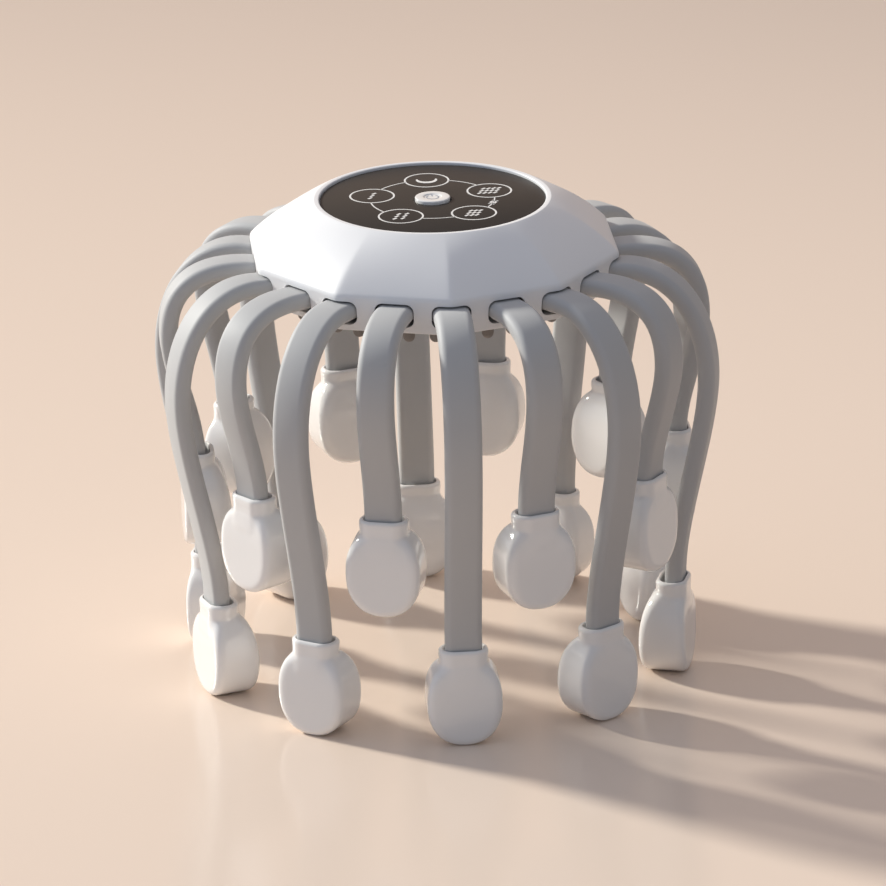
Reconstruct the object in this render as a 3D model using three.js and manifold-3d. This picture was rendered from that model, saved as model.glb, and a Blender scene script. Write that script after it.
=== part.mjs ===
// Electric scalp massager: a ten-sided hub carries ten long and ten short silicone arms, and each arm
// ends in a hard paddle head that holds a vibration motor. It stands on its ten long heads.
// Millimetres, +Z up. The origin is on the floor below the middle of the hub.

import * as THREE from "three";
import { mergeVertices } from "three/addons/utils/BufferGeometryUtils.js";
import Module from "manifold-3d";

const wasm = await Module();
wasm.setup();

// Driving dimensions: the arms as a set
const PAIRS = 10; // long arms at the corners of the hub, short arms between them
const CLEARANCE = 0.3; // all-round gap between pieces that are only seated
const LONG_DROP = 140.9; // middle of the slots down to the bottom of the long heads
const SHORT_DROP = 96; // middle of the slots down to the bottom of the short heads

// Driving dimensions: housing
const CREASE_RADIUS = 63.2; // to the corners of the ten-sided crease
const CREASE_RISE = 5.4; // crease above the middle of the slots
const SKIRT_HEIGHT = 11.9; // crease down to the bottom edge
const SKIRT_DRAFT = 1.1; // the corners draw in by this much at the bottom edge
const EDGE_BEVEL = 0.6;
const DOME_HEIGHT = 15.9; // crease up to the rim round the panel
const DOME_FULLNESS = 2.2; // how far the facets swell above a straight slope
const RIM_WIDTH = 1.7;
const RIM_ROUND = 0.4;
const WALL = 2;
const FLOOR_THICKNESS = 2; // the tray that the panel lies on

// Driving dimensions: slots and arms
const ARM_WIDTH = 12.3;
const ARM_THICKNESS = 5.9;
const ARM_EDGE = 1.7; // flat that stands in for the rounded edge of an arm
const SLOT_SIDE_GAP = 0.35;
const SLOT_SWING_GAP = 0.75; // above and below the arm, so that it can swing
const SLOT_SAG = 0.7; // further down at the lower edge of a slot
const SLOT_EDGE = 1.5; // cut corner that stands in for the round corner of a slot
const ROOT_LENGTH = 7; // pivot to the inner end of an arm
const ROOT_FLANGE = 3; // length of the wider flange at the inner end
const ROOT_FLANGE_WIDTH = 14.2;
const EXIT_LIFT = 2; // the arms leave the slots rising a little
const LONG_BULGE_RADIUS = 92.8;
const LONG_BULGE_DROP = 35.9; // below the middle of the slots
const SHORT_BULGE_RADIUS = 89.1;
const SHORT_BULGE_DROP = 22.4;
const ARM_END_RADIUS = 81.1; // centre of the arms where they enter the heads
const LONG_EXIT_REACH = 18; // handles of the curves that an arm follows: at the slot,
const LONG_BULGE_REACH = 21; // above the bulge
const LONG_FALL_REACH = 20; // and below it
const SHORT_EXIT_REACH = 19;
const SHORT_BULGE_REACH = 17;
const SHORT_FALL_REACH = 12;

// Driving dimensions: heads
const HEAD_HEIGHT = 33;
const HEAD_WIDTH = 24.8;
const HEAD_THICKNESS = 16.1;
const HEAD_PROUD = 2; // outer face of a head beyond the outer face of its arm
const NECK_WIDTH = 16.2;
const NECK_THICKNESS = 10.5;
const NECK_HEIGHT = 6.7;
const HEAD_WIDEST = 14; // height of the widest level of a head above its bottom
const HEAD_SHOULDER = 17.4; // the upper half is an ellipse of this height, cut off by the neck
const HEAD_EDGE = 3; // round along the bottom of both faces
const HEAD_FOOT = 7; // width of the flat that a head stands on
const HEAD_CORNER = 5;
const NECK_CORNER = 4.6;
const NECK_WALL = 1.25;
const MOUTH_DEPTH = 4.1;
const SOCKET_DEPTH = 24.6; // rim of the neck down to the floor of the socket
const ARM_GRIP = 11; // length of arm inside its head
const MOTOR_DIAMETER = 10;
const MOTOR_THICKNESS = 3.4;
const MOTOR_LEAD = 1; // bottom of the strip down to the rim of the motor
const MOTOR_EDGE = 0.4;

// Driving dimensions: panel, button and board
const PANEL_RADIUS = 37.4;
const PANEL_THICKNESS = 1;
const PANEL_RECESS = 0.8; // panel below the rim
const BUTTON_RADIUS = 5.9;
const BUTTON_PROUD = 1;
const BUTTON_FLANGE = 1.1; // flange beyond the cap, which keeps the button in
const BUTTON_FLANGE_THICKNESS = 0.8;
const BUTTON_TRAVEL = 0.5;
const BUTTON_GAP = 0.4;
const BUTTON_DISH = 0.3;
const STEM_RADIUS = 1.5;
const STEM_LENGTH = 0.9;
const BOARD_RADIUS = 33;
const BOARD_THICKNESS = 1.6;
const BOARD_DROP = 3; // tray underside down to the board
const BOARD_SCREWS = 2;
const BOARD_SCREW_RING = 28;
const BOARD_BOSS_WALL = 1.6;
const SWITCH_SIZE = 6.2;
const SWITCH_HEIGHT = 2.3;
const PLUNGER_RADIUS = 1.7;
const PLUNGER_LENGTH = 1.6;

// Driving dimensions: base, battery and fasteners
const BASE_THICKNESS = 1.7;
const BASE_INSET = 0.2; // underside of the base below the edge of the skirt
const CLAMP_THICKNESS = 2;
const CLAMP_WIDTH = 9.5;
const CLAMP_RADIUS = 56; // outer edge of the clamp ring
const POST_RADIUS = 1.5;
const SCREWS = 5;
const SCREW_RING = 43;
const SCREW_SHANK = 1.1;
const SCREW_HEAD = 2.4;
const SCREW_HEAD_THICKNESS = 1.3;
const SCREW_LENGTH = 9;
const SCREW_SEAT_RISE = 0.9; // seat of the screw heads above the base plate
const SCREW_FLOOR = 1.3; // plastic between a screw's seat and the boss of the housing
const BOSS_WALL = 1.8;
const BOSS_DEPTH = 1.4; // top of the screw bosses below the underside of the tray
const ROOTING = 0.5; // how far bosses and posts start inside the plate they stand on
const BATTERY = [40, 30, 7];
const SOCKET = [9, 3.3, 7.4]; // upright charging socket, with its mouth down
const SOCKET_WALL = 0.4;
const SOCKET_FLANGE = 1.3; // beyond the sides of the socket
const SOCKET_FLANGE_THICKNESS = 1;
const SOCKET_OFFSET = 24;
const LOOM_RADIUS = 49;
const LOOM_THICKNESS = 2.4;
const RIB_THICKNESS = 1.6; // ribs of the housing that press on the clamp ring
const RIB_LENGTH = 3.5;
const RIB_HEIGHT = 2.2;
const BOARD_SHANK = 0.8;
const BOARD_HEAD = 1.8;
const BOARD_HEAD_THICKNESS = 1.2;
const BOARD_SCREW_LENGTH = 4;

// Driving dimensions: crown pad
const PAD_OUTER = 53;
const PAD_INNER = 37;
const PAD_THICKNESS = 1.5;
const PAD_SEAT = 0.4; // recess in the underside of the base that the pad lies in
const NUBS = 36;
const NUB_RING = 50;
const NUB_RADIUS = 2;
const NUB_LENGTH = 4.6;

// Facet counts
const RING_POINTS = 40; // round the housing, four to a side
const ROUND_SIDES = 20;
const SMALL_SIDES = 8;
const NUB_SIDES = 6;
const DOME_STEPS = 3;
const UPPER_STEPS = 5;
const LOWER_STEPS = 3;
const MOTOR_TURNS = [60, 0, -60]; // degrees above the middle of a motor at which it has a level
const HEAD_STEPS = 3;

// Derived levels
const slotZ = LONG_DROP;
const creaseZ = slotZ + CREASE_RISE;
const skirtZ = creaseZ - SKIRT_HEIGHT;
const rimZ = creaseZ + DOME_HEIGHT;
const panelTop = rimZ - PANEL_RECESS;
const trayTop = panelTop - PANEL_THICKNESS;
const trayUnder = trayTop - FLOOR_THICKNESS;
const boardTop = trayUnder - BOARD_DROP;
const boardUnder = boardTop - BOARD_THICKNESS;
const baseUnder = skirtZ - BASE_INSET;
const baseTop = baseUnder + BASE_THICKNESS;
const padTop = baseUnder + PAD_SEAT;
const padUnder = padTop - PAD_THICKNESS;
const slotHeight = ARM_THICKNESS + 2 * SLOT_SWING_GAP;
const clampUnder = slotZ + slotHeight / 2 - CLEARANCE / 3;
const clampTop = clampUnder + CLAMP_THICKNESS;

const screwSeat = baseTop + SCREW_SEAT_RISE;
const bossTop = screwSeat + SCREW_FLOOR;
const flangeTop = trayTop - CLEARANCE;
const flangeUnder = flangeTop - BUTTON_FLANGE_THICKNESS;
const stemUnder = flangeUnder - STEM_LENGTH;
const plungerUnder = stemUnder - PLUNGER_LENGTH;
const switchBoreFloor = plungerUnder - BUTTON_TRAVEL - CLEARANCE / 2;

// Derived radii
const corner = Math.PI / PAIRS; // half the angle of one side
const trayRadius = PANEL_RADIUS + CLEARANCE;
const wallAtCorner = WALL / Math.cos(corner);
const rimOuter = trayRadius + RIM_WIDTH;
const buttonHole = BUTTON_RADIUS + BUTTON_FLANGE + BUTTON_GAP;
const longWall = CREASE_RADIUS;
const shortWall = CREASE_RADIUS * Math.cos(corner);
const longPivot = longWall - WALL;
const shortPivot = shortWall - WALL / 2;
const postRing = CLAMP_RADIUS - CLAMP_WIDTH + POST_RADIUS + CLEARANCE;
const ribRing = CLAMP_RADIUS - RIB_LENGTH / 2 + CLEARANCE;
const riserRing = BOARD_RADIUS - LOOM_THICKNESS;
const boardBoss = BOARD_SHANK + BOARD_BOSS_WALL;
const boardScrewHole = BOARD_SHANK + CLEARANCE;

// A geometry whose only attribute is its position and whose shared corners are one vertex.
function merged(geometry) {
  const bare = new THREE.BufferGeometry().setAttribute("position", geometry.getAttribute("position"));
  if (geometry.index) bare.setIndex(geometry.index);
  return mergeVertices(bare, 1e-4);
}

function solid(geometry) {
  const g = merged(geometry);
  const mesh = new wasm.Mesh({
    numProp: 3,
    vertProperties: new Float32Array(g.attributes.position.array),
    triVerts: new Uint32Array(g.index.array),
  });
  return new wasm.Manifold(mesh);
}

function geometryOf(manifold) {
  const mesh = manifold.getMesh();
  return new THREE.BufferGeometry()
    .setAttribute("position", new THREE.BufferAttribute(mesh.vertProperties, 3))
    .setIndex(new THREE.BufferAttribute(mesh.triVerts, 1));
}

// One solid from a base geometry with others added to it and then others cut from it.
function combine(base, added, cut) {
  let result = solid(base);
  for (const geometry of added) result = result.add(solid(geometry));
  for (const geometry of cut) result = result.subtract(solid(geometry));
  return geometryOf(result);
}

// A skin through rings of equal length. Either both ends are capped, or the last ring meets the first.
function loft(rings, looped = false) {
  const count = rings[0].length;
  const positions = rings.flat().flatMap((p) => [p.x, p.y, p.z]);
  const index = [];
  const bands = looped ? rings.length : rings.length - 1;
  for (let band = 0; band < bands; band++) {
    const low = band * count;
    const high = ((band + 1) % rings.length) * count;
    for (let i = 0; i < count; i++) {
      const next = (i + 1) % count;
      index.push(low + i, low + next, high + next, low + i, high + next, high + i);
    }
  }
  if (!looped) {
    const last = (rings.length - 1) * count;
    for (let i = 1; i < count - 1; i++) {
      index.push(0, i + 1, i);
      index.push(last, last + i, last + i + 1);
    }
  }
  return facingOut(positions, index);
}

// A closed geometry from corners and triangles, with every triangle turned if they face inwards.
function facingOut(positions, index) {
  const [a, b, c] = [new THREE.Vector3(), new THREE.Vector3(), new THREE.Vector3()];
  let volume = 0;
  for (let i = 0; i < index.length; i += 3) {
    a.fromArray(positions, 3 * index[i]);
    b.fromArray(positions, 3 * index[i + 1]);
    c.fromArray(positions, 3 * index[i + 2]);
    volume += a.dot(b.cross(c)) / 6;
  }
  return new THREE.BufferGeometry()
    .setAttribute("position", new THREE.Float32BufferAttribute(positions, 3))
    .setIndex(volume < 0 ? index.slice().reverse() : index);
}

// An upright round bar from one height to another, with its axis at the given distance and angle.
function bar(radius, low, high, ring = 0, angle = 0, sides = SMALL_SIDES) {
  return new THREE.CylinderGeometry(radius, radius, high - low, sides)
    .rotateX(Math.PI / 2)
    .translate(ring * Math.cos(angle), ring * Math.sin(angle), (low + high) / 2);
}

function block(size, low, x = 0, y = 0) {
  return new THREE.BoxGeometry(...size).translate(x, y, low + size[2] / 2);
}

// A ring turned about Z from a closed profile of [radius, height] points.
function turned(profile, sides) {
  const points = [...profile, profile[0]].map(([r, z]) => new THREE.Vector2(r, z));
  return lathed(points, sides);
}

// A solid turned about Z from a profile that starts and ends on the axis.
function turnedSolid(profile, sides = ROUND_SIDES) {
  const points = profile.map(([r, z]) => new THREE.Vector2(r, z));
  return lathed(points, sides);
}

// A lathe geometry with its axis on Z, its seam closed and its faces out.
function lathed(points, sides) {
  const g = merged(new THREE.LatheGeometry(points, sides).rotateX(Math.PI / 2));
  const corners = Array.from(g.index.array);
  const kept = [];
  for (let i = 0; i < corners.length; i += 3) {
    const [a, b, c] = corners.slice(i, i + 3);
    if (a !== b && b !== c && c !== a) kept.push(a, b, c);
  }
  return facingOut(Array.from(g.attributes.position.array), kept);
}

// Twelve points of a rounded rectangle, anticlockwise, as pairs.
function roundedRectangle(lowX, highX, lowY, highY, radius) {
  const arc = radius * (1 - Math.SQRT1_2);
  const quarter = [
    [0, radius],
    [arc, arc],
    [radius, 0],
  ];
  const corners = [
    [highX, highY, -1, -1, false],
    [lowX, highY, 1, -1, true],
    [lowX, lowY, 1, 1, false],
    [highX, lowY, -1, 1, true],
  ];
  return corners.flatMap(([x, y, sx, sy, back]) => {
    const points = quarter.map(([dx, dy]) => [x + sx * dx, y + sy * dy]);
    return back ? points.reverse() : points;
  });
}

// Angle of arm number i of the twenty, counted from the front: even ones are long.
function armAngle(i) {
  return -Math.PI / 2 + i * corner;
}

// One level of the housing: a circle at morph 0, and a ten-sided outline at morph 1.
function housingRing(radius, z, morph) {
  return Array.from({ length: RING_POINTS }, (_, i) => {
    const angle = armAngle(0) + (i * 2 * Math.PI) / RING_POINTS;
    const fromSide = ((i * 2 * Math.PI) / RING_POINTS) % (2 * corner);
    const side = (radius * Math.cos(corner)) / Math.cos(fromSide - corner);
    const r = radius + (side - radius) * morph;
    return new THREE.Vector3(r * Math.cos(angle), r * Math.sin(angle), z);
  });
}

// The faceted slope from an upper radius and height down to a lower one, swelling by the fullness.
function domeRings(top, bottom) {
  const slope = new THREE.QuadraticBezierCurve(
    new THREE.Vector2(...top),
    new THREE.Vector2(
      (top[0] + bottom[0]) / 2 + DOME_FULLNESS,
      (top[1] + bottom[1]) / 2 + DOME_FULLNESS,
    ),
    new THREE.Vector2(...bottom),
  );
  return slope.getPoints(DOME_STEPS).map((p, i) => {
    const t = i / DOME_STEPS;
    return housingRing(p.x, p.y, t * (2 - t));
  });
}

function slotCutter(i) {
  const outline = cutRectangle(ARM_WIDTH + 2 * SLOT_SIDE_GAP, slotHeight + SLOT_SAG, SLOT_EDGE);
  const middle = slotZ - SLOT_SAG / 2;
  const reach = [shortWall - 2 * WALL, longWall + WALL];
  const rings = reach.map((r) => outline.map(([y, z]) => new THREE.Vector3(r, y, middle + z)));
  return loft(rings).rotateZ(armAngle(i));
}

// Housing shell: dome, skirt with a slot for each arm, tray for the panel and bosses for the screws.
function topCover() {
  const lower = CREASE_RADIUS - SKIRT_DRAFT;
  const innerTop = [rimOuter, trayUnder];
  const innerCrease = [CREASE_RADIUS - wallAtCorner, creaseZ - WALL / 2];
  const rings = [
    housingRing(buttonHole, trayUnder, 0),
    housingRing(buttonHole, trayTop, 0),
    housingRing(trayRadius, trayTop, 0),
    housingRing(trayRadius, rimZ - RIM_ROUND, 0),
    housingRing(trayRadius + RIM_ROUND, rimZ, 0),
    ...domeRings([rimOuter, rimZ], [CREASE_RADIUS, creaseZ]),
    housingRing(lower, skirtZ + EDGE_BEVEL, 1),
    housingRing(lower - EDGE_BEVEL, skirtZ, 1),
    housingRing(lower - wallAtCorner, skirtZ, 1),
    ...domeRings(innerTop, innerCrease).reverse(),
  ];
  const bosses = [];
  const holes = [];
  for (let i = 0; i < SCREWS; i++) {
    const angle = screwAngle(i);
    bosses.push(bar(SCREW_SHANK + BOSS_WALL, bossTop, trayUnder - BOSS_DEPTH, SCREW_RING, angle));
    holes.push(bar(SCREW_SHANK + CLEARANCE, bossTop - WALL, bossTop + SCREW_LENGTH, SCREW_RING, angle));
  }
  for (let i = 0; i < BOARD_SCREWS; i++) {
    const angle = boardScrewAngle(i);
    bosses.push(bar(boardBoss, boardTop, trayUnder + ROOTING, BOARD_SCREW_RING, angle));
    holes.push(bar(boardScrewHole, boardTop - WALL, trayUnder, BOARD_SCREW_RING, angle));
  }
  const ribs = [];
  for (let i = 0; i < PAIRS / 2; i++) {
    const size = [RIB_LENGTH, RIB_THICKNESS, RIB_HEIGHT];
    ribs.push(block(size, clampTop, ribRing).rotateZ(postAngle(2 * i)));
  }
  const slots = Array.from({ length: 2 * PAIRS }, (_, i) => slotCutter(i));
  return combine(loft(rings, true), [...bosses, ...ribs], [...slots, ...holes]);
}

// Angle of a post of the clamp ring, half way between a short arm and the next long one.
function postAngle(i) {
  return armAngle(2 * i + 1.5);
}

function screwAngle(i) {
  return armAngle(0.5) + (i * 2 * Math.PI) / SCREWS;
}

function boardScrewAngle(i) {
  return (i * 2 * Math.PI) / BOARD_SCREWS;
}

// Plate that closes the housing, with screw bosses, posts for the clamp ring and a seat for the pad.
function bottomCover() {
  const radius = CREASE_RADIUS - SKIRT_DRAFT - wallAtCorner - CLEARANCE / Math.cos(corner);
  const plate = loft([housingRing(radius, baseUnder, 1), housingRing(radius, baseTop, 1)]);
  const added = [];
  const cut = [];
  for (let i = 0; i < SCREWS; i++) {
    const angle = screwAngle(i);
    const headHole = SCREW_HEAD + CLEARANCE;
    added.push(bar(headHole + BOSS_WALL / 2, baseUnder + ROOTING, bossTop, SCREW_RING, angle));
    cut.push(bar(SCREW_SHANK + CLEARANCE, baseUnder, bossTop + WALL, SCREW_RING, angle));
    cut.push(bar(headHole, baseUnder - WALL, screwSeat, SCREW_RING, angle));
  }
  for (let i = 0; i < PAIRS; i++) {
    added.push(bar(POST_RADIUS, baseUnder + ROOTING, clampUnder, postRing, postAngle(i), NUB_SIDES));
  }
  const mouth = [SOCKET[0] + CLEARANCE, SOCKET[1] + CLEARANCE, 2 * BASE_THICKNESS];
  cut.push(block(mouth, baseUnder - BASE_THICKNESS / 2, 0, SOCKET_OFFSET));
  const seat = [
    [PAD_INNER - CLEARANCE, baseUnder - WALL],
    [PAD_OUTER + CLEARANCE, baseUnder - WALL],
    [PAD_OUTER + CLEARANCE, padTop],
    [PAD_INNER - CLEARANCE, padTop],
  ];
  cut.push(turned(seat, RING_POINTS));
  return combine(plate, added, cut);
}

// Ring above the inner ends of the arms, which holds them down in the base.
function clampRing() {
  const inner = CLAMP_RADIUS - CLAMP_WIDTH;
  return turned(
    [
      [inner, clampUnder],
      [CLAMP_RADIUS, clampUnder],
      [CLAMP_RADIUS, clampTop],
      [inner, clampTop],
    ],
    RING_POINTS,
  );
}

// Bundle of motor leads that lies on the clamp ring, with a riser to the board.
function wiringLoom() {
  const half = LOOM_THICKNESS / 2;
  const middle = clampTop + CLEARANCE + half;
  const profile = Array.from({ length: 6 }, (_, i) => {
    const angle = ((i + 0.5) * Math.PI) / 3;
    return [LOOM_RADIUS + half * Math.cos(angle), middle + half * Math.cos(Math.PI / 6) * Math.sin(angle)];
  });
  const runLength = LOOM_RADIUS - riserRing;
  const run = block([runLength, LOOM_THICKNESS, half], middle - half / 2, riserRing + runLength / 2);
  const riserHeight = boardUnder - CLEARANCE - (middle - half / 2);
  const riser = block([half, LOOM_THICKNESS, riserHeight], middle - half / 2, riserRing);
  const angle = armAngle(7);
  return combine(turned(profile, RING_POINTS), [run.rotateZ(angle), riser.rotateZ(angle)], []);
}

function controlPanel() {
  const hole = BUTTON_RADIUS + BUTTON_GAP;
  return turned(
    [
      [hole, trayTop],
      [PANEL_RADIUS, trayTop],
      [PANEL_RADIUS, panelTop],
      [hole, panelTop],
    ],
    RING_POINTS,
  );
}

// Round key cap with a flange under the panel and a short stem onto the switch.
function modeButton() {
  const top = panelTop + BUTTON_PROUD;
  const flange = BUTTON_RADIUS + BUTTON_FLANGE;
  return turnedSolid([
    [0, stemUnder],
    [STEM_RADIUS, stemUnder],
    [STEM_RADIUS, flangeUnder],
    [flange, flangeUnder],
    [flange, flangeTop],
    [BUTTON_RADIUS, flangeTop],
    [BUTTON_RADIUS, top - RIM_ROUND],
    [BUTTON_RADIUS - RIM_ROUND, top],
    [BUTTON_RADIUS / 2, top],
    [BUTTON_RADIUS / 2 - BUTTON_DISH, top - BUTTON_DISH],
    [0, top - BUTTON_DISH],
  ]);
}

function switchPlunger() {
  return bar(PLUNGER_RADIUS, plungerUnder, stemUnder);
}

function tactSwitch() {
  const body = block([SWITCH_SIZE, SWITCH_SIZE, SWITCH_HEIGHT], boardTop);
  return combine(body, [], [bar(PLUNGER_RADIUS + CLEARANCE, switchBoreFloor, boardTop + 2 * SWITCH_HEIGHT)]);
}

function circuitBoard() {
  const holes = [];
  for (let i = 0; i < BOARD_SCREWS; i++) {
    holes.push(bar(boardScrewHole, boardUnder - WALL, boardTop + WALL, BOARD_SCREW_RING, boardScrewAngle(i)));
  }
  return combine(bar(BOARD_RADIUS, boardUnder, boardTop, 0, 0, RING_POINTS), [], holes);
}

// Upright charging socket, open downwards, with a flange that rests on the base.
function usbSocket() {
  const flange = [SOCKET[0] + 2 * SOCKET_FLANGE, SOCKET[1] + 2 * SOCKET_FLANGE, SOCKET_FLANGE_THICKNESS];
  const hollow = [SOCKET[0] - 2 * SOCKET_WALL, SOCKET[1] - 2 * SOCKET_WALL, SOCKET[2]];
  return combine(
    block(SOCKET, baseUnder, 0, SOCKET_OFFSET),
    [block(flange, baseTop, 0, SOCKET_OFFSET)],
    [block(hollow, baseUnder - SOCKET_WALL, 0, SOCKET_OFFSET)],
  );
}

// Soft pad under the base with a ring of round-tipped nubs for the crown of the head.
function crownPad() {
  const plate = turned(
    [
      [PAD_INNER, padUnder],
      [PAD_OUTER, padUnder],
      [PAD_OUTER, padTop],
      [PAD_INNER, padTop],
    ],
    RING_POINTS,
  );
  const root = padUnder + PAD_THICKNESS / 2;
  const tip = padUnder - NUB_LENGTH;
  const nubs = [];
  for (let i = 0; i < NUBS; i++) {
    const angle = armAngle(0) + ((i + 0.5) * 2 * Math.PI) / NUBS;
    const nub = turnedSolid(
      [
        [0, tip],
        [NUB_RADIUS * Math.SQRT1_2, tip + NUB_RADIUS * (1 - Math.SQRT1_2)],
        [NUB_RADIUS, tip + NUB_RADIUS],
        [NUB_RADIUS, root],
        [0, root],
      ],
      NUB_SIDES,
    );
    nubs.push(nub.translate(NUB_RING * Math.cos(angle), NUB_RING * Math.sin(angle), 0));
  }
  return combine(plate, nubs, []);
}

// Middle line of an arm in its own upright plane: out of the slot, over the bulge and down to the head.
function armPath(wall, drop, bulgeRadius, bulgeDrop, [exitReach, bulgeReach, fallReach]) {
  const bulgeZ = slotZ - bulgeDrop;
  const neckZ = slotZ - drop + HEAD_HEIGHT;
  const upper = new THREE.CubicBezierCurve(
    new THREE.Vector2(wall, slotZ),
    new THREE.Vector2(wall + exitReach, slotZ + EXIT_LIFT),
    new THREE.Vector2(bulgeRadius, bulgeZ + bulgeReach),
    new THREE.Vector2(bulgeRadius, bulgeZ),
  );
  const lower = new THREE.CubicBezierCurve(
    new THREE.Vector2(bulgeRadius, bulgeZ),
    new THREE.Vector2(bulgeRadius, bulgeZ - fallReach),
    new THREE.Vector2(ARM_END_RADIUS, neckZ + fallReach),
    new THREE.Vector2(ARM_END_RADIUS, neckZ),
  );
  return { upper, lower, neckZ };
}

const longReaches = [LONG_EXIT_REACH, LONG_BULGE_REACH, LONG_FALL_REACH];
const shortReaches = [SHORT_EXIT_REACH, SHORT_BULGE_REACH, SHORT_FALL_REACH];
const longArmPath = armPath(longWall, LONG_DROP, LONG_BULGE_RADIUS, LONG_BULGE_DROP, longReaches);
const shortArmPath = armPath(shortWall, SHORT_DROP, SHORT_BULGE_RADIUS, SHORT_BULGE_DROP, shortReaches);

// Eight points of a rectangle with its corners cut off, centred at zero, as pairs.
function cutRectangle(width, height, edge) {
  const [x, y] = [width / 2, height / 2];
  return [
    [x, y - edge],
    [x - edge, y],
    [edge - x, y],
    [-x, y - edge],
    [-x, edge - y],
    [edge - x, -y],
    [x - edge, -y],
    [x, edge - y],
  ];
}

// Eight points of an arm's section, centred at a radius and height and square to a direction.
function armSection(centre, tangent, width = ARM_WIDTH, thickness = ARM_THICKNESS, edge = ARM_EDGE) {
  const normal = new THREE.Vector2(-tangent.y, tangent.x);
  return cutRectangle(width, thickness, edge).map(([y, n]) => {
    const p = centre.clone().addScaledVector(normal, n);
    return new THREE.Vector3(p.x, y, p.y);
  });
}

// Silicone arm in the XZ plane: flange inside the housing, curved strip, and the motor at its end.
function arm(path, pivot) {
  const outward = new THREE.Vector2(1, 0);
  const down = new THREE.Vector2(0, -1);
  const inner = new THREE.Vector2(pivot - ROOT_LENGTH, slotZ);
  const shoulder = new THREE.Vector2(inner.x + ROOT_FLANGE, slotZ);
  const end = new THREE.Vector2(ARM_END_RADIUS, path.neckZ - ARM_GRIP);
  const rings = [
    armSection(inner, outward, ROOT_FLANGE_WIDTH),
    armSection(shoulder, outward, ROOT_FLANGE_WIDTH),
    armSection(shoulder, outward),
    armSection(path.upper.getPoint(0), outward),
  ];
  for (let i = 1; i <= UPPER_STEPS; i++) {
    const t = i / UPPER_STEPS;
    rings.push(armSection(path.upper.getPoint(t), path.upper.getTangent(t)));
  }
  for (let i = 1; i <= LOWER_STEPS; i++) {
    const t = i / LOWER_STEPS;
    rings.push(armSection(path.lower.getPoint(t), path.lower.getTangent(t)));
  }
  rings.push(armSection(end, down));
  const motor = MOTOR_DIAMETER / 2;
  const centre = end.y - MOTOR_LEAD - motor;
  const motorRing = (rise, halfWidth) =>
    armSection(new THREE.Vector2(end.x, rise), down, 2 * halfWidth, MOTOR_THICKNESS, MOTOR_EDGE);
  const turns = MOTOR_TURNS.map((degrees) => THREE.MathUtils.degToRad(degrees));
  rings.push(motorRing(end.y, motor * Math.cos(turns[0])));
  for (const turn of turns) rings.push(motorRing(centre + motor * Math.sin(turn), motor * Math.cos(turn)));
  return loft(rings);
}

// One level of a head, from its half width and its inner and outer faces, measured from the arm.
function headRing(z, halfWidth, inner, outer, round) {
  const radius = Math.min(round, halfWidth - CLEARANCE);
  const outline = roundedRectangle(inner, outer, -halfWidth, halfWidth, radius);
  return outline.map(([x, y]) => new THREE.Vector3(ARM_END_RADIUS + x, y, z));
}

// Paddle head in the XZ plane: egg-shaped from the front, thicker towards the scalp, with a socket.
function head(bottom) {
  const outer = ARM_THICKNESS / 2 + HEAD_PROUD;
  const inner = outer - HEAD_THICKNESS;
  const neckOuter = ARM_THICKNESS / 2 + CLEARANCE + NECK_WALL;
  const neckInner = neckOuter - NECK_THICKNESS;
  const neckZ = HEAD_HEIGHT - NECK_HEIGHT;
  const rings = [];
  const foot = Math.acos(HEAD_FOOT / HEAD_WIDTH);
  for (let i = HEAD_STEPS; i > 0; i--) {
    const angle = (foot * i) / HEAD_STEPS;
    const z = HEAD_WIDEST * (1 - Math.sin(angle) / Math.sin(foot));
    const depth = Math.max(0, 1 - z / HEAD_EDGE);
    const inset = HEAD_EDGE * (1 - Math.sqrt(1 - depth * depth));
    const halfWidth = (HEAD_WIDTH / 2) * Math.cos(angle);
    rings.push(headRing(bottom + z, halfWidth, inner + inset, outer - inset, HEAD_CORNER));
  }
  for (let i = 0; i < HEAD_STEPS; i++) {
    const u = i / HEAD_STEPS;
    const z = HEAD_WIDEST + u * (neckZ - HEAD_WIDEST);
    const halfWidth = (HEAD_WIDTH / 2) * Math.sqrt(1 - ((z - HEAD_WIDEST) / HEAD_SHOULDER) ** 2);
    const swell = Math.sqrt(1 - u * u);
    const innerFace = neckInner + (inner - neckInner) * swell;
    const outerFace = neckOuter + (outer - neckOuter) * swell;
    rings.push(headRing(bottom + z, halfWidth, innerFace, outerFace, HEAD_CORNER));
  }
  const rim = bottom + HEAD_HEIGHT;
  const neckHalf = NECK_WIDTH / 2;
  const mouthHalf = neckHalf - NECK_WALL;
  const socketHalf = ARM_WIDTH / 2 + CLEARANCE;
  const socketFace = ARM_THICKNESS / 2 + CLEARANCE;
  const mouth = rim - MOUTH_DEPTH;
  rings.push(
    headRing(bottom + neckZ, neckHalf, neckInner, neckOuter, NECK_CORNER),
    headRing(rim, neckHalf, neckInner, neckOuter, NECK_CORNER),
    headRing(rim, mouthHalf, neckInner + NECK_WALL, socketFace, ARM_EDGE + CLEARANCE),
    headRing(mouth, mouthHalf, neckInner + NECK_WALL, socketFace, ARM_EDGE + CLEARANCE),
    headRing(mouth, socketHalf, -socketFace, socketFace, ARM_EDGE),
    headRing(rim - SOCKET_DEPTH, socketHalf, -socketFace, socketFace, ARM_EDGE),
  );
  return loft(rings);
}

// A screw with its head down, turned from its profile.
function screw(shank, head, headThickness, seat, length) {
  return turnedSolid(
    [
      [0, seat - headThickness],
      [head, seat - headThickness],
      [head, seat],
      [shank, seat],
      [shank, seat + length],
      [0, seat + length],
    ],
    SMALL_SIDES,
  );
}

function material(color, roughness, metalness = 0) {
  return new THREE.MeshStandardMaterial({ color, roughness, metalness });
}

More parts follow.
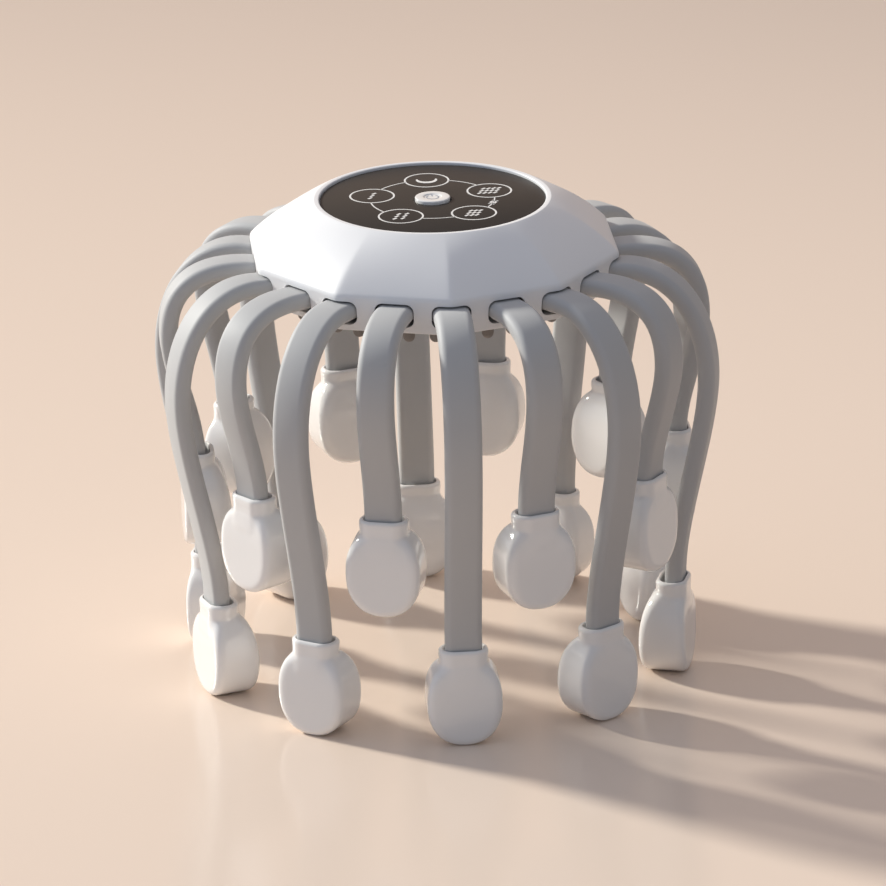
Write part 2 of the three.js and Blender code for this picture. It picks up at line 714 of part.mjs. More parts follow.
// Colours and finishes
const whiteSatin = () => material("#f1f1f2", 0.38);
const whiteGloss = () => material("#f2f0ee", 0.12);
const greySilicone = () => material("#b9b9b9", 0.6);
const darkPanel = () => material("#3b3633", 0.15);
const darkRubber = () => material("#5f5853", 0.7);
const innerPlastic = () => material("#d9d9da", 0.5);
const boardGreen = () => material("#1f5a3c", 0.5);
const cellFoil = () => material("#9fa7b0", 0.4, 0.5);
const wireCover = () => material("#4a4a4c", 0.55);
const steel = () => material("#b9bcc0", 0.3, 1);
const switchBlack = () => material("#232323", 0.5);

const massager = new THREE.Group();

function place(name, geometry, finish, parent = massager) {
  const mesh = new THREE.Mesh(geometry, finish);
  mesh.name = name;
  parent.add(mesh);
  return mesh;
}

place("top_cover", topCover(), whiteSatin());
place("bottom_cover", bottomCover(), innerPlastic());
place("arm_clamp_ring", clampRing(), innerPlastic());
place("crown_pad", crownPad(), darkRubber());
place("control_panel", controlPanel(), darkPanel());
place("mode_button", modeButton(), whiteGloss());
place("switch_plunger", switchPlunger(), switchBlack());
place("tact_switch", tactSwitch(), steel());
place("circuit_board", circuitBoard(), boardGreen());
place("battery_cell", block(BATTERY, baseTop), cellFoil());
place("usb_socket", usbSocket(), steel());
place("wiring_loom", wiringLoom(), wireCover());

for (let i = 0; i < SCREWS; i++) {
  const geometry = screw(SCREW_SHANK, SCREW_HEAD, SCREW_HEAD_THICKNESS, screwSeat, SCREW_LENGTH);
  const angle = screwAngle(i);
  const mesh = place(`cover_screw_${i + 1}`, geometry, steel());
  mesh.position.set(SCREW_RING * Math.cos(angle), SCREW_RING * Math.sin(angle), 0);
}
for (let i = 0; i < BOARD_SCREWS; i++) {
  const geometry = screw(BOARD_SHANK, BOARD_HEAD, BOARD_HEAD_THICKNESS, boardUnder, BOARD_SCREW_LENGTH);
  const angle = boardScrewAngle(i);
  const mesh = place(`board_screw_${i + 1}`, geometry, steel());
  mesh.position.set(BOARD_SCREW_RING * Math.cos(angle), BOARD_SCREW_RING * Math.sin(angle), 0);
}

// Each arm and its head share a group that is turned to the arm's place on the hub.
for (let i = 0; i < 2 * PAIRS; i++) {
  const long = i % 2 === 0;
  const kind = long ? "long" : "short";
  const number = Math.floor(i / 2) + 1;
  const spoke = new THREE.Group();
  spoke.rotation.z = armAngle(i);
  massager.add(spoke);
  const armGeometry = long ? arm(longArmPath, longPivot) : arm(shortArmPath, shortPivot);
  place(`arm_${kind}_${number}`, armGeometry, greySilicone(), spoke);
  place(`head_${kind}_${number}`, head(long ? 0 : LONG_DROP - SHORT_DROP), whiteGloss(), spoke);
}

export default massager;
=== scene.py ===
"""Electric scalp massager: finished surfaces, floor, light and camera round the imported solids.

Sizes are in millimetres with +Z up, and MM turns them into the metres of the scene. An arm and its
head are modelled in their own upright plane, with X pointing outwards, and are then turned about Z to
their place on the hub.
"""

import logging
import math
from collections.abc import Callable, Sequence
from dataclasses import dataclass
from enum import Enum

import bmesh
import bpy
from mathutils import Matrix, Vector

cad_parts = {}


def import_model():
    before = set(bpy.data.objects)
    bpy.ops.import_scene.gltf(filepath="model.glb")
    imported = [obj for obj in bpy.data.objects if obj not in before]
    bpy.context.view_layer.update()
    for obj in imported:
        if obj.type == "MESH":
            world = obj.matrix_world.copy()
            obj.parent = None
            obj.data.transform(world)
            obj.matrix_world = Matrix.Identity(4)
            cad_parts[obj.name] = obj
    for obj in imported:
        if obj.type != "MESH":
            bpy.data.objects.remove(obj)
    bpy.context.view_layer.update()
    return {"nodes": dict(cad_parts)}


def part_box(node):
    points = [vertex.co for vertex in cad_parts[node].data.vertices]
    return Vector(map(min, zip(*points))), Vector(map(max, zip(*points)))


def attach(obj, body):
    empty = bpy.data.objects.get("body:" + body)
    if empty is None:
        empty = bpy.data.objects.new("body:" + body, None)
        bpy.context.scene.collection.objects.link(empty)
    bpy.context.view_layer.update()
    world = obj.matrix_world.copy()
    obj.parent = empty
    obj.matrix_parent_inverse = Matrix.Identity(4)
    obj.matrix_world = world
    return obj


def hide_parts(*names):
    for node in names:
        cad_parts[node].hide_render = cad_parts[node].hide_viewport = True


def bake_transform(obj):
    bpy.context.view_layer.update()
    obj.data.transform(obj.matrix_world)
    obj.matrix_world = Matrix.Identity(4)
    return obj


LOG = logging.getLogger("massager")

MM = 0.001
PAIRS = 10
SIDE_DEGREES = 360 / PAIRS
SLOT_LEVEL = 140.9
ARM_END_RADIUS = 81.1
HEAD_HEIGHT = 33.0

Piece = bpy.types.Object
Ring = list[Vector]
Level = tuple[float, float, float]
Socket = bpy.types.NodeSocket
Value = float | tuple[float, ...] | Socket
Light = tuple[float, float, float]


class ArmKind(Enum):
    """The two lengths of arm, each with the number of its first place round the hub."""

    LONG = 0
    SHORT = 1

    @property
    def word(self) -> str:
        """The word that names nodes and bodies of this kind."""
        return self.name.lower()


class Ends(Enum):
    """How a skin of rings is closed."""

    CAPPED = "capped"
    LOOPED = "looped"


def arm_angle(place: float) -> float:
    """Angle of a place round the hub, in radians, counted from the front in twentieths of a turn."""
    return -math.pi / 2 + place * math.pi / PAIRS


def spoke(angle: float, length: float = 1.0, z: float = 0.0) -> Vector:
    """Vector at an angle about Z, in radians, with a level length and a height."""
    return Vector((length * math.cos(angle), length * math.sin(angle), z))


def quarter(steps: int) -> list[float]:
    """Angles in radians from nothing to a right angle, in even steps."""
    return [math.pi / 2 * step / steps for step in range(steps + 1)]


def eased(share: float) -> float:
    """A share from 0 to 1 that starts and ends gently."""
    share = min(1.0, max(0.0, share))
    return share * share * (3 - 2 * share)


def linear(code: str) -> tuple[float, float, float, float]:
    """Turns an sRGB hex colour into linear red, green, blue and alpha.

    Args:
        code: Six hex digits after a hash sign.

    Returns:
        The colour as Blender's sockets take it.
    """
    shares = [int(code[i : i + 2], 16) / 255 for i in (1, 3, 5)]
    red, green, blue = (c / 12.92 if c <= 0.04045 else ((c + 0.055) / 1.055) ** 2.4 for c in shares)
    return red, green, blue, 1.0


def deselect_all() -> None:
    """Leaves object mode with nothing selected."""
    if bpy.context.mode != "OBJECT":
        bpy.ops.object.mode_set(mode="OBJECT")
    bpy.ops.object.select_all(action="DESELECT")


def pick(obj: Piece) -> None:
    """Makes one object the only one selected, and the active one.

    Args:
        obj: The object to pick.
    """
    deselect_all()
    obj.select_set(True)
    bpy.context.view_layer.objects.active = obj


def add_object(name: str, data: bpy.types.ID) -> Piece:
    """Puts a mesh, camera or lamp into the scene.

    Args:
        name: Name of the new object.
        data: What it shows.

    Returns:
        The new object, at the origin.
    """
    made = bpy.data.objects.new(name, data)
    bpy.context.scene.collection.objects.link(made)
    return made


def apply_modifier(obj: Piece, kind: str, **settings: object) -> None:
    """Adds a modifier to an object and applies it.

    Args:
        obj: The object that is changed.
        kind: Blender's name for the type of modifier.
        **settings: Values for the modifier's own properties.
    """
    pick(obj)
    modifier = obj.modifiers.new(kind.lower(), kind)
    for key, value in settings.items():
        setattr(modifier, key, value)
    bpy.ops.object.modifier_apply(modifier=modifier.name)


def join(pieces: Sequence[Piece], name: str) -> Piece:
    """Joins pieces into one mesh.

    Args:
        pieces: The objects to join, of which the first one stays.
        name: Name of the joined piece.

    Returns:
        The joined piece.
    """
    deselect_all()
    for piece in pieces:
        piece.select_set(True)
    bpy.context.view_layer.objects.active = pieces[0]
    bpy.ops.object.join()
    joined = bpy.context.object
    joined.name = joined.data.name = name
    return joined


def copy_of(obj: Piece, name: str, turn: float = 0.0, shift: Vector | None = None) -> Piece:
    """Copies a piece with its own mesh, moved and then turned about Z.

    Args:
        obj: The piece to copy.
        name: Name of the copy.
        turn: Angle about Z in radians.
        shift: Move in millimetres before the turn.

    Returns:
        The copy, with its place in its mesh.
    """
    made = add_object(name, obj.data.copy())
    made.data.name = name
    move = Matrix.Translation((shift or Vector()) * MM)
    made.data.transform(Matrix.Rotation(turn, 4, "Z") @ move)
    return made


def remove(*objects: Piece) -> None:
    """Deletes patterns and cutters that have served."""
    for obj in objects:
        bpy.data.objects.remove(obj)


def carve(obj: Piece, cutter: Piece, operation: str = "DIFFERENCE") -> None:
    """Cuts or joins one closed piece with another, which is then deleted."""
    apply_modifier(obj, "BOOLEAN", operation=operation, object=cutter, solver="EXACT")
    remove(cutter)


def smooth(obj: Piece, degrees: float = 35.0) -> Piece:
    """Shades a piece smooth, but keeps edges sharper than an angle.

    Args:
        obj: The piece.
        degrees: Edges that turn by more than this stay sharp.

    Returns:
        The same piece.
    """
    pick(obj)
    bpy.ops.object.shade_smooth_by_angle(angle=math.radians(degrees))
    return obj


def extruded(name: str, rings: Sequence[Ring], ends: Ends = Ends.CAPPED) -> Piece:
    """Grows a closed skin from a circle, extruding it in edit mode to one ring after another.

    Args:
        name: Name of the new object.
        rings: Rings of equal length, in millimetres, whose points lie side by side.
        ends: Whether the first and last rings are capped, or joined to each other.

    Returns:
        The closed object, with its faces pointing out.
    """
    deselect_all()
    fill = "NGON" if ends is Ends.CAPPED else "NOTHING"
    if ends is Ends.LOOPED:
        rings = [*rings, rings[0]]
    bpy.ops.mesh.primitive_circle_add(vertices=len(rings[0]), radius=MM, fill_type=fill)
    obj = bpy.context.object
    obj.name = obj.data.name = name
    bpy.ops.object.mode_set(mode="EDIT")
    bpy.ops.mesh.select_mode(type="VERT")
    bpy.ops.mesh.select_all(action="SELECT")
    mesh = bmesh.from_edit_mesh(obj.data)
    last = list(range(len(rings[0])))
    for number, ring in enumerate(rings):
        if number:
            bpy.ops.mesh.extrude_region_move()
            mesh = bmesh.from_edit_mesh(obj.data)
            mesh.verts.ensure_lookup_table()
            mesh.verts.index_update()
            last = [raised_from(mesh.verts[index]) for index in last]
        mesh.verts.ensure_lookup_table()
        for index, point in zip(last, ring, strict=True):
            mesh.verts[index].co = point * MM
    bmesh.update_edit_mesh(obj.data)
    bpy.ops.mesh.select_all(action="SELECT")
    if ends is Ends.LOOPED:
        bpy.ops.mesh.remove_doubles(threshold=1e-7)
    bpy.ops.mesh.normals_make_consistent(inside=False)
    bpy.ops.object.mode_set(mode="OBJECT")
    return obj


def raised_from(vertex: bmesh.types.BMVert) -> int:
    """Index of the new vertex that an extrusion raised from an old one."""
    return next(e.other_vert(vertex).index for e in vertex.link_edges if e.other_vert(vertex).select)


def circle(radius: float, z: float, count: int = 96, middle: Vector | None = None) -> Ring:
    """A level ring of points about an upright axis."""
    centre = middle or Vector()
    return [centre + spoke(2 * math.pi * i / count, radius, z) for i in range(count)]


def rounded_rectangle(half_x: float, half_y: float, radius: float, steps: int = 6) -> list[Vector]:
    """Outline of a rectangle with round corners, about zero.

    Args:
        half_x: Half of its length along X.
        half_y: Half of its length along Y.
        radius: Radius of its corners.
        steps: Stretches in each corner.

    Returns:
        Points in two dimensions, anticlockwise.
    """
    points = []
    for corner in range(4):
        sign_x = 1 if corner in (0, 3) else -1
        sign_y = 1 if corner < 2 else -1
        centre = Vector((sign_x * (half_x - radius), sign_y * (half_y - radius)))
        for step in range(steps + 1):
            angle = (corner + step / steps) * math.pi / 2
            points.append(centre + radius * spoke(angle).xy)
    return points


def in_rounded(x: float, y: float, half_x: float, half_y: float, radius: float) -> bool:
    """Whether a point lies in a rectangle with round corners about zero.

    Args:
        x: The point's place along X.
        y: The point's place along Y.
        half_x: Half of the rectangle's length along X.
        half_y: Half of its length along Y.
        radius: Radius of its corners.

    Returns:
        True inside and on the outline.
    """
    over_x, over_y = abs(x) - (half_x - radius), abs(y) - (half_y - radius)
    if over_x > radius or over_y > radius:
        return False
    return over_x <= 0 or over_y <= 0 or math.hypot(over_x, over_y) <= radius


def lifted(outline: Sequence[Vector], z: float, share: float = 1.0, offset: float = 0.0) -> Ring:
    """An outline as a level ring at a height, scaled by a share and then moved along Y."""
    return [Vector((p.x * share, p.y * share + offset, z)) for p in outline]


def rounded_corner(
    before: Sequence[float], corner: Sequence[float], after: Sequence[float], radius: float, steps: int = 4
) -> list[Level]:
    """Levels along a round in a profile of radius, height and morph.

    Args:
        before: The level before the corner.
        corner: The corner that is rounded off.
        after: The level after it.
        radius: Radius of the round.
        steps: Stretches in the round.

    Returns:
        The levels that replace the corner.
    """
    middle, first, last = Vector(corner[:2]), Vector(before[:2]), Vector(after[:2])
    into, out = (first - middle).normalized(), (last - middle).normalized()
    half = into.angle(out) / 2
    reach = min(radius / math.tan(half), (first - middle).length, (last - middle).length)
    bow = reach * math.tan(half)
    centre = middle + (into + out).normalized() * bow / math.sin(half)
    start, end = middle + into * reach - centre, middle + out * reach - centre
    turn = start.angle_signed(end)
    levels = []
    for step in range(steps + 1):
        point = centre + Matrix.Rotation(-turn * step / steps, 2) @ start
        levels.append((point.x, point.y, corner[2]))
    return levels


def ribbon(name: str, line: Sequence[Vector], widths: Sequence[float], low: float, high: float) -> Piece:
    """A flat raised stroke along a level line.

    Args:
        name: Name of the new object.
        line: Points of the line in two dimensions.
        widths: Width of the stroke at each point.
        low: Height of its underside.
        high: Height of its top.

    Returns:
        The closed stroke.
    """
    closed = (line[0] - line[-1]).length < widths[0] / 8
    points = list(line[:-1]) if closed else list(line)
    rings = []
    for i, point in enumerate(points):
        before = points[i - 1] if i or closed else point
        after = points[(i + 1) % len(points)] if closed or i + 1 < len(points) else point
        along = (after - before).normalized()
        side = Vector((-along.y, along.x)) * widths[i] / 2
        corners = [(point - side, low), (point + side, low), (point + side, high), (point - side, high)]
        rings.append([Vector((p.x, p.y, z)) for p, z in corners])
    return extruded(name, rings, Ends.LOOPED if closed else Ends.CAPPED)


def arc(centre: Vector, radius: float, first: float, last: float, steps: int = 32) -> list[Vector]:
    """Points in two dimensions along an arc, between two angles in degrees."""
    turns = (math.radians(first + (last - first) * i / steps) for i in range(steps + 1))
    return [centre + radius * spoke(turn).xy for turn in turns]


def add_node(
    material: bpy.types.Material | bpy.types.World,
    kind: str,
    inputs: dict[str | int, Value],
    **settings: object,
) -> bpy.types.Node:
    """Adds a shader node with its settings, values and links.

    Args:
        material: The material, or the world, that gets the node.
        kind: Blender's name for the type of node.
        inputs: For each input, by name or number, the value or the socket that feeds it.
        **settings: Values for the node's own properties.

    Returns:
        The new node.
    """
    node = material.node_tree.nodes.new(kind)
    for key, value in settings.items():
        setattr(node, key, value)
    for key, value in inputs.items():
        if isinstance(value, bpy.types.NodeSocket):
            material.node_tree.links.new(value, node.inputs[key])
        else:
            node.inputs[key].default_value = value
    return node


@dataclass(frozen=True)
class Finish:
    """A real material and the process that made its surface.

    The grain is the fine relief that the mould or tool leaves. The cloud is the slow variation of
    colour over a moulding. Both are sizes in millimetres on Object coordinates. The slot is the
    record's name for the material.
    """

    name: str
    colour: str
    roughness: float
    slot: str | None = None
    grain: float = 0.4
    grain_depth: float = 0.01
    cloud: float = 18.0
    cloud_share: float = 0.03
    wear: float = 0.05
    metallic: float = 0.0
    ior: float = 1.5
    coat: float = 0.0
    coat_roughness: float = 0.05
    sheen: float = 0.0
    sheen_roughness: float = 0.4

    def build(self) -> bpy.types.Material:
        """Makes the node material.

        Returns:
            The finished material.
        """
        material = bpy.data.materials.new(self.name)
        material.use_nodes = True
        material.node_tree.nodes.clear()
        place = add_node(material, "ShaderNodeTexCoord", {}).outputs["Object"]
        clouds = self.noise(material, place, self.cloud, detail=3.0)
        grain = self.noise(material, place, self.grain, detail=2.0)
        colour = add_node(
            material,
            "ShaderNodeMix",
            {"Factor": clouds, 6: self.shade(1 - self.cloud_share), 7: self.shade(1 + self.cloud_share)},
            data_type="RGBA",
        )
        roughness = add_node(
            material,
            "ShaderNodeMapRange",
            {"Value": clouds, "To Min": self.roughness - self.wear, "To Max": self.roughness + self.wear},
        )
        relief = {"Strength": 1.0, "Distance": self.grain_depth * MM, "Height": grain}
        bump = add_node(material, "ShaderNodeBump", relief)
        surface = add_node(
            material,
            "ShaderNodeBsdfPrincipled",
            {
                "Base Color": colour.outputs[2],
                "Roughness": roughness.outputs["Result"],
                "Normal": bump.outputs["Normal"],
                "Metallic": self.metallic,
                "IOR": self.ior,
                "Coat Weight": self.coat,
                "Coat Roughness": self.coat_roughness,
                "Sheen Weight": self.sheen,
                "Sheen Roughness": self.sheen_roughness,
            },
        )
        add_node(material, "ShaderNodeOutputMaterial", {"Surface": surface.outputs["BSDF"]})
        return material

    def noise(self, material: bpy.types.Material, place: Socket, size: float, detail: float) -> Socket:
        """Noise whose lumps have a size in millimetres."""
        inputs = {"Vector": place, "Scale": 1 / (size * MM), "Detail": detail}
        return add_node(material, "ShaderNodeTexNoise", inputs).outputs["Fac"]

    def shade(self, share: float) -> tuple[float, ...]:
        """The finish's colour, a little darker or lighter."""
        return (*(min(1.0, c * share) for c in linear(self.colour)[:3]), 1.0)


# White ABS from a spark-eroded mould: soft highlights with a fine satin grain
SATIN_ABS = Finish(
    "satin_moulded_abs", "#F1F1F2", 0.34, "white_satin_abs", grain=0.35, grain_depth=0.006, cloud_share=0.01
)
# White ABS from a polished mould: sharp highlights on a surface that is hardly wavy
GLOSS_ABS = Finish(
    "gloss_moulded_abs",
    "#F2F0EE",
    0.08,
    "white_gloss_abs",
    grain=2.5,
    grain_depth=0.008,
    cloud_share=0.01,
    wear=0.02,
    coat=0.4,
)
# Grey liquid silicone rubber: dull and slightly soft at grazing light
SILICONE = Finish(
    "moulded_silicone_rubber",
    "#B9B9B9",
    0.58,
    "grey_silicone",
    grain=0.3,
    grain_depth=0.012,
    cloud_share=0.025,
    sheen=0.15,
    ior=1.42,
)
# The arms' grey rubber again for the pad and its nubs, with painted shade: a darker, warmer grey brown that
# paints in the shade and the warm floor bounce under the hub
NUB_RUBBER_PAINTED_SHADE = Finish("nub_rubber_painted_shade", "#8A837E", 0.55, "dark_silicone", grain=0.3, ior=1.42)
# Acrylic sheet with a dark print on its back and a coat on its face that hardly reflects
DARK_ACRYLIC = Finish(
    "back_printed_acrylic",
    "#393532",
    0.4,
    "dark_panel",
    grain=4.0,
    grain_depth=0.004,
    cloud_share=0.02,
    wear=0.03,
    ior=1.2,
)
# Screen-printed ink: thin, opaque and a little dull
WHITE_INK = Finish("white_screen_ink", "#EFEDEA", 0.45, grain=0.25, grain_depth=0.004, cloud_share=0.02)
GREY_INK = Finish("grey_screen_ink", "#9EA2AC", 0.45, grain=0.25, grain_depth=0.004, cloud_share=0.02)
# Unpolished ABS of the inner mouldings
INNER_ABS = Finish("plain_moulded_abs", "#D9D9DA", 0.45, "inner_abs")
# Nickel-plated pressed steel of the socket and the switch
PLATED_STEEL = Finish(
    "nickel_plated_steel", "#C9C7C0", 0.24, "switch_metal", grain=0.8, grain_depth=0.004, metallic=1.0
)
# Zinc-plated screws, duller than nickel
ZINC_STEEL = Finish(
    "zinc_plated_steel", "#B4B8BD", 0.34, "screw_steel", grain=0.5, grain_depth=0.008, metallic=1.0
)
# Solder mask over glass fibre, whose weave shows faintly
SOLDER_MASK = Finish("solder_mask", "#1F5A3C", 0.3, "board", grain=0.6, cloud_share=0.06)
# Laminated foil of the pouch cell, slightly crumpled
POUCH_FOIL = Finish(
    "laminated_foil", "#A6ACB3", 0.32, "cell_foil", grain=3.0, grain_depth=0.1, metallic=0.8
)
# Flexible PVC on the leads
LEAD_PVC = Finish("extruded_pvc", "#4A4A4C", 0.5, "lead_cover", grain=0.5)
# Pale painted board under the object, smooth enough for a faint sheen
PAINTED_BOARD = Finish("painted_board", "#F0DCCB", 0.15, cloud=900, cloud_share=0.005, grain_depth=0.001)


class Palette:
    """Builds each finish once and dresses pieces with it."""

    def __init__(self) -> None:
        """Starts with no material built."""
        self.built: dict[Finish, bpy.types.Material] = {}

    def dress(self, obj: Piece, finish: Finish) -> None:
        """Gives an object one finish all over.

        Args:
            obj: The object.
            finish: Its finish.
        """
        if finish not in self.built:
            self.built[finish] = finish.build()
        obj.data.materials.clear()
        obj.data.materials.append(self.built[finish])

    def dress_new(self, obj: Piece, finish: Finish) -> None:
        """Dresses a new piece with its finish.

        Args:
            obj: The new piece.
            finish: Its finish.
        """
        self.dress(obj, finish)

    def place(self, obj: Piece, finish: Finish, body: str, *nodes: str) -> None:
        """Dresses a new piece, puts it on a body and lets it stand for nodes.

        Args:
            obj: The finished piece.
            finish: Its finish.
            body: The body that it moves with.
            *nodes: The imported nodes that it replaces.
        """
        self.dress_new(obj, finish)
        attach(obj, body)
        if nodes:
            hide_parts(*nodes)
        LOG.info("%s on %s: %d faces", obj.name, body, len(obj.data.polygons))


@dataclass
class Housing:
    """White top cover: round at the panel, ten-sided at the crease, with a slot for each arm."""

    palette: Palette
    slot_level: float = SLOT_LEVEL
    crease_rise: float = 5.4
    skirt_draft: float = 1.1
    tray_radius: float = 37.7
    rim_width: float = 1.7
    rim_round: float = 0.45
    recess: float = 1.8
    fullness: float = 2.2
    wall: float = 2.0
    floor_thickness: float = 2.0
    crease_round: float = 2.6
    edge_round: float = 0.7
    corner_softness: float = 0.9
    corner_offsets: tuple[float, ...] = (0, 0.45, 0.9, 1.4, 2.1, 3.2, 5, 7.5, 10, 12.7, 15.4)
    button_hole: float = 7.4
    slot_width: float = 13.0
    slot_height: float = 8.1
    slot_sag: float = 0.35
    slot_corner: float = 2.6
    dome_steps: int = 22

    def __post_init__(self) -> None:
        """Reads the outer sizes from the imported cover."""
        low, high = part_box("top_cover")
        self.corner_radius = high.y / MM
        self.rim_z = high.z / MM
        self.skirt_z = low.z / MM
        self.crease_z = self.slot_level + self.crease_rise
        self.sides = self.side_offsets()

    def side_offsets(self) -> list[float]:
        """Angles in degrees across one side, from corner to corner, closest together at the corners."""
        back = (SIDE_DEGREES - offset for offset in reversed(self.corner_offsets[1:]))
        return [*self.corner_offsets, SIDE_DEGREES / 2, *back]

    def ring(self, radius: float, z: float, morph: float) -> Ring:
        """One level of the cover.

        Args:
            radius: To the corners.
            z: Its height.
            morph: 0 for a circle and 1 for a ten-sided outline.

        Returns:
            The ring of points.
        """
        half = math.pi / PAIRS
        points = []
        for side in range(PAIRS):
            for offset in self.sides:
                from_corner = math.radians(min(offset, SIDE_DEGREES - offset))
                soft = math.hypot(from_corner, math.radians(self.corner_softness))
                flat = radius * math.cos(half) / math.cos(half - min(soft, half))
                reach = radius + (flat - radius) * morph
                points.append(spoke(arm_angle(2 * side) + math.radians(offset), reach, z))
        return points

    def slope(self, top: tuple[float, float], bottom: tuple[float, float]) -> list[Level]:
        """Levels down the swelling slope between two levels.

        Args:
            top: Radius and height of its upper end.
            bottom: Radius and height of its lower end.

        Returns:
            Radius, height and morph of each level.
        """
        middle = [(a + b) / 2 + self.fullness for a, b in zip(top, bottom, strict=True)]
        levels = []
        for step in range(self.dome_steps + 1):
            t = step / self.dome_steps
            r, z = (
                (1 - t) ** 2 * a + 2 * t * (1 - t) * m + t * t * b
                for a, m, b in zip(top, middle, bottom, strict=True)
            )
            levels.append((r, z, t * (2 - t)))
        return levels

    def profile(self) -> list[Level]:
        """Levels from the button's hole over the top, down the slope and round inside.

        Returns:
            Radius, height and morph of each level.
        """
        outer = self.tray_radius + self.rim_width
        tray = self.rim_z - self.recess
        under = tray - self.floor_thickness
        inner = self.wall / math.cos(math.pi / PAIRS)
        lip = (self.tray_radius, self.rim_z, 0)
        foot = (self.corner_radius - self.skirt_draft, self.skirt_z, 1)
        foot_inside = (foot[0] - inner, self.skirt_z, 1)
        dome = self.slope((outer, self.rim_z), (self.corner_radius, self.crease_z))
        inside = self.slope((outer, under), (self.corner_radius - inner, self.crease_z - self.wall / 2))
        rim_in = rounded_corner((self.tray_radius, tray, 0), lip, (outer, self.rim_z, 0), self.rim_round)
        rim_out = rounded_corner(lip, dome[0], dome[3], self.rim_round)
        crease = rounded_corner(dome[-2], dome[-1], foot, self.crease_round, steps=8)
        edge = rounded_corner(dome[-1], foot, foot_inside, self.edge_round, steps=5)
        kept = [level for level in dome[1:-1] if rim_out[-1][0] < level[0] < crease[0][0]]
        hole = [(self.button_hole, under, 0), (self.button_hole, tray, 0), (self.tray_radius, tray, 0)]
        return [*hole, *rim_in, *rim_out, *kept, *crease, *edge, foot_inside, *reversed(inside)]

    def slot_cutter(self, place: int) -> Piece:
        """Rounded bar through the skirt where one arm comes out.

        Args:
            place: Place round the hub, counted from the front.

        Returns:
            The cutter.
        """
        outline = rounded_rectangle(self.slot_width / 2, self.slot_height / 2, self.slot_corner)
        flat_radius = self.corner_radius * math.cos(math.pi / PAIRS)
        middle = self.slot_level - self.slot_sag
        ends = (flat_radius - 2 * self.wall, self.corner_radius + self.wall)
        bar = extruded(f"slot_{place}", [[Vector((r, p.x, middle + p.y)) for p in outline] for r in ends])
        bar.data.transform(Matrix.Rotation(arm_angle(place), 4, "Z"))
        return bar

    def build(self) -> None:
        """Makes the cover and places it."""
        cover = extruded("housing_cover", [self.ring(*level) for level in self.profile()], Ends.LOOPED)
        carve(cover, join([self.slot_cutter(place) for place in range(2 * PAIRS)], "slots"))
        self.palette.place(smooth(cover, degrees=30), SATIN_ABS, "hub", "top_cover")


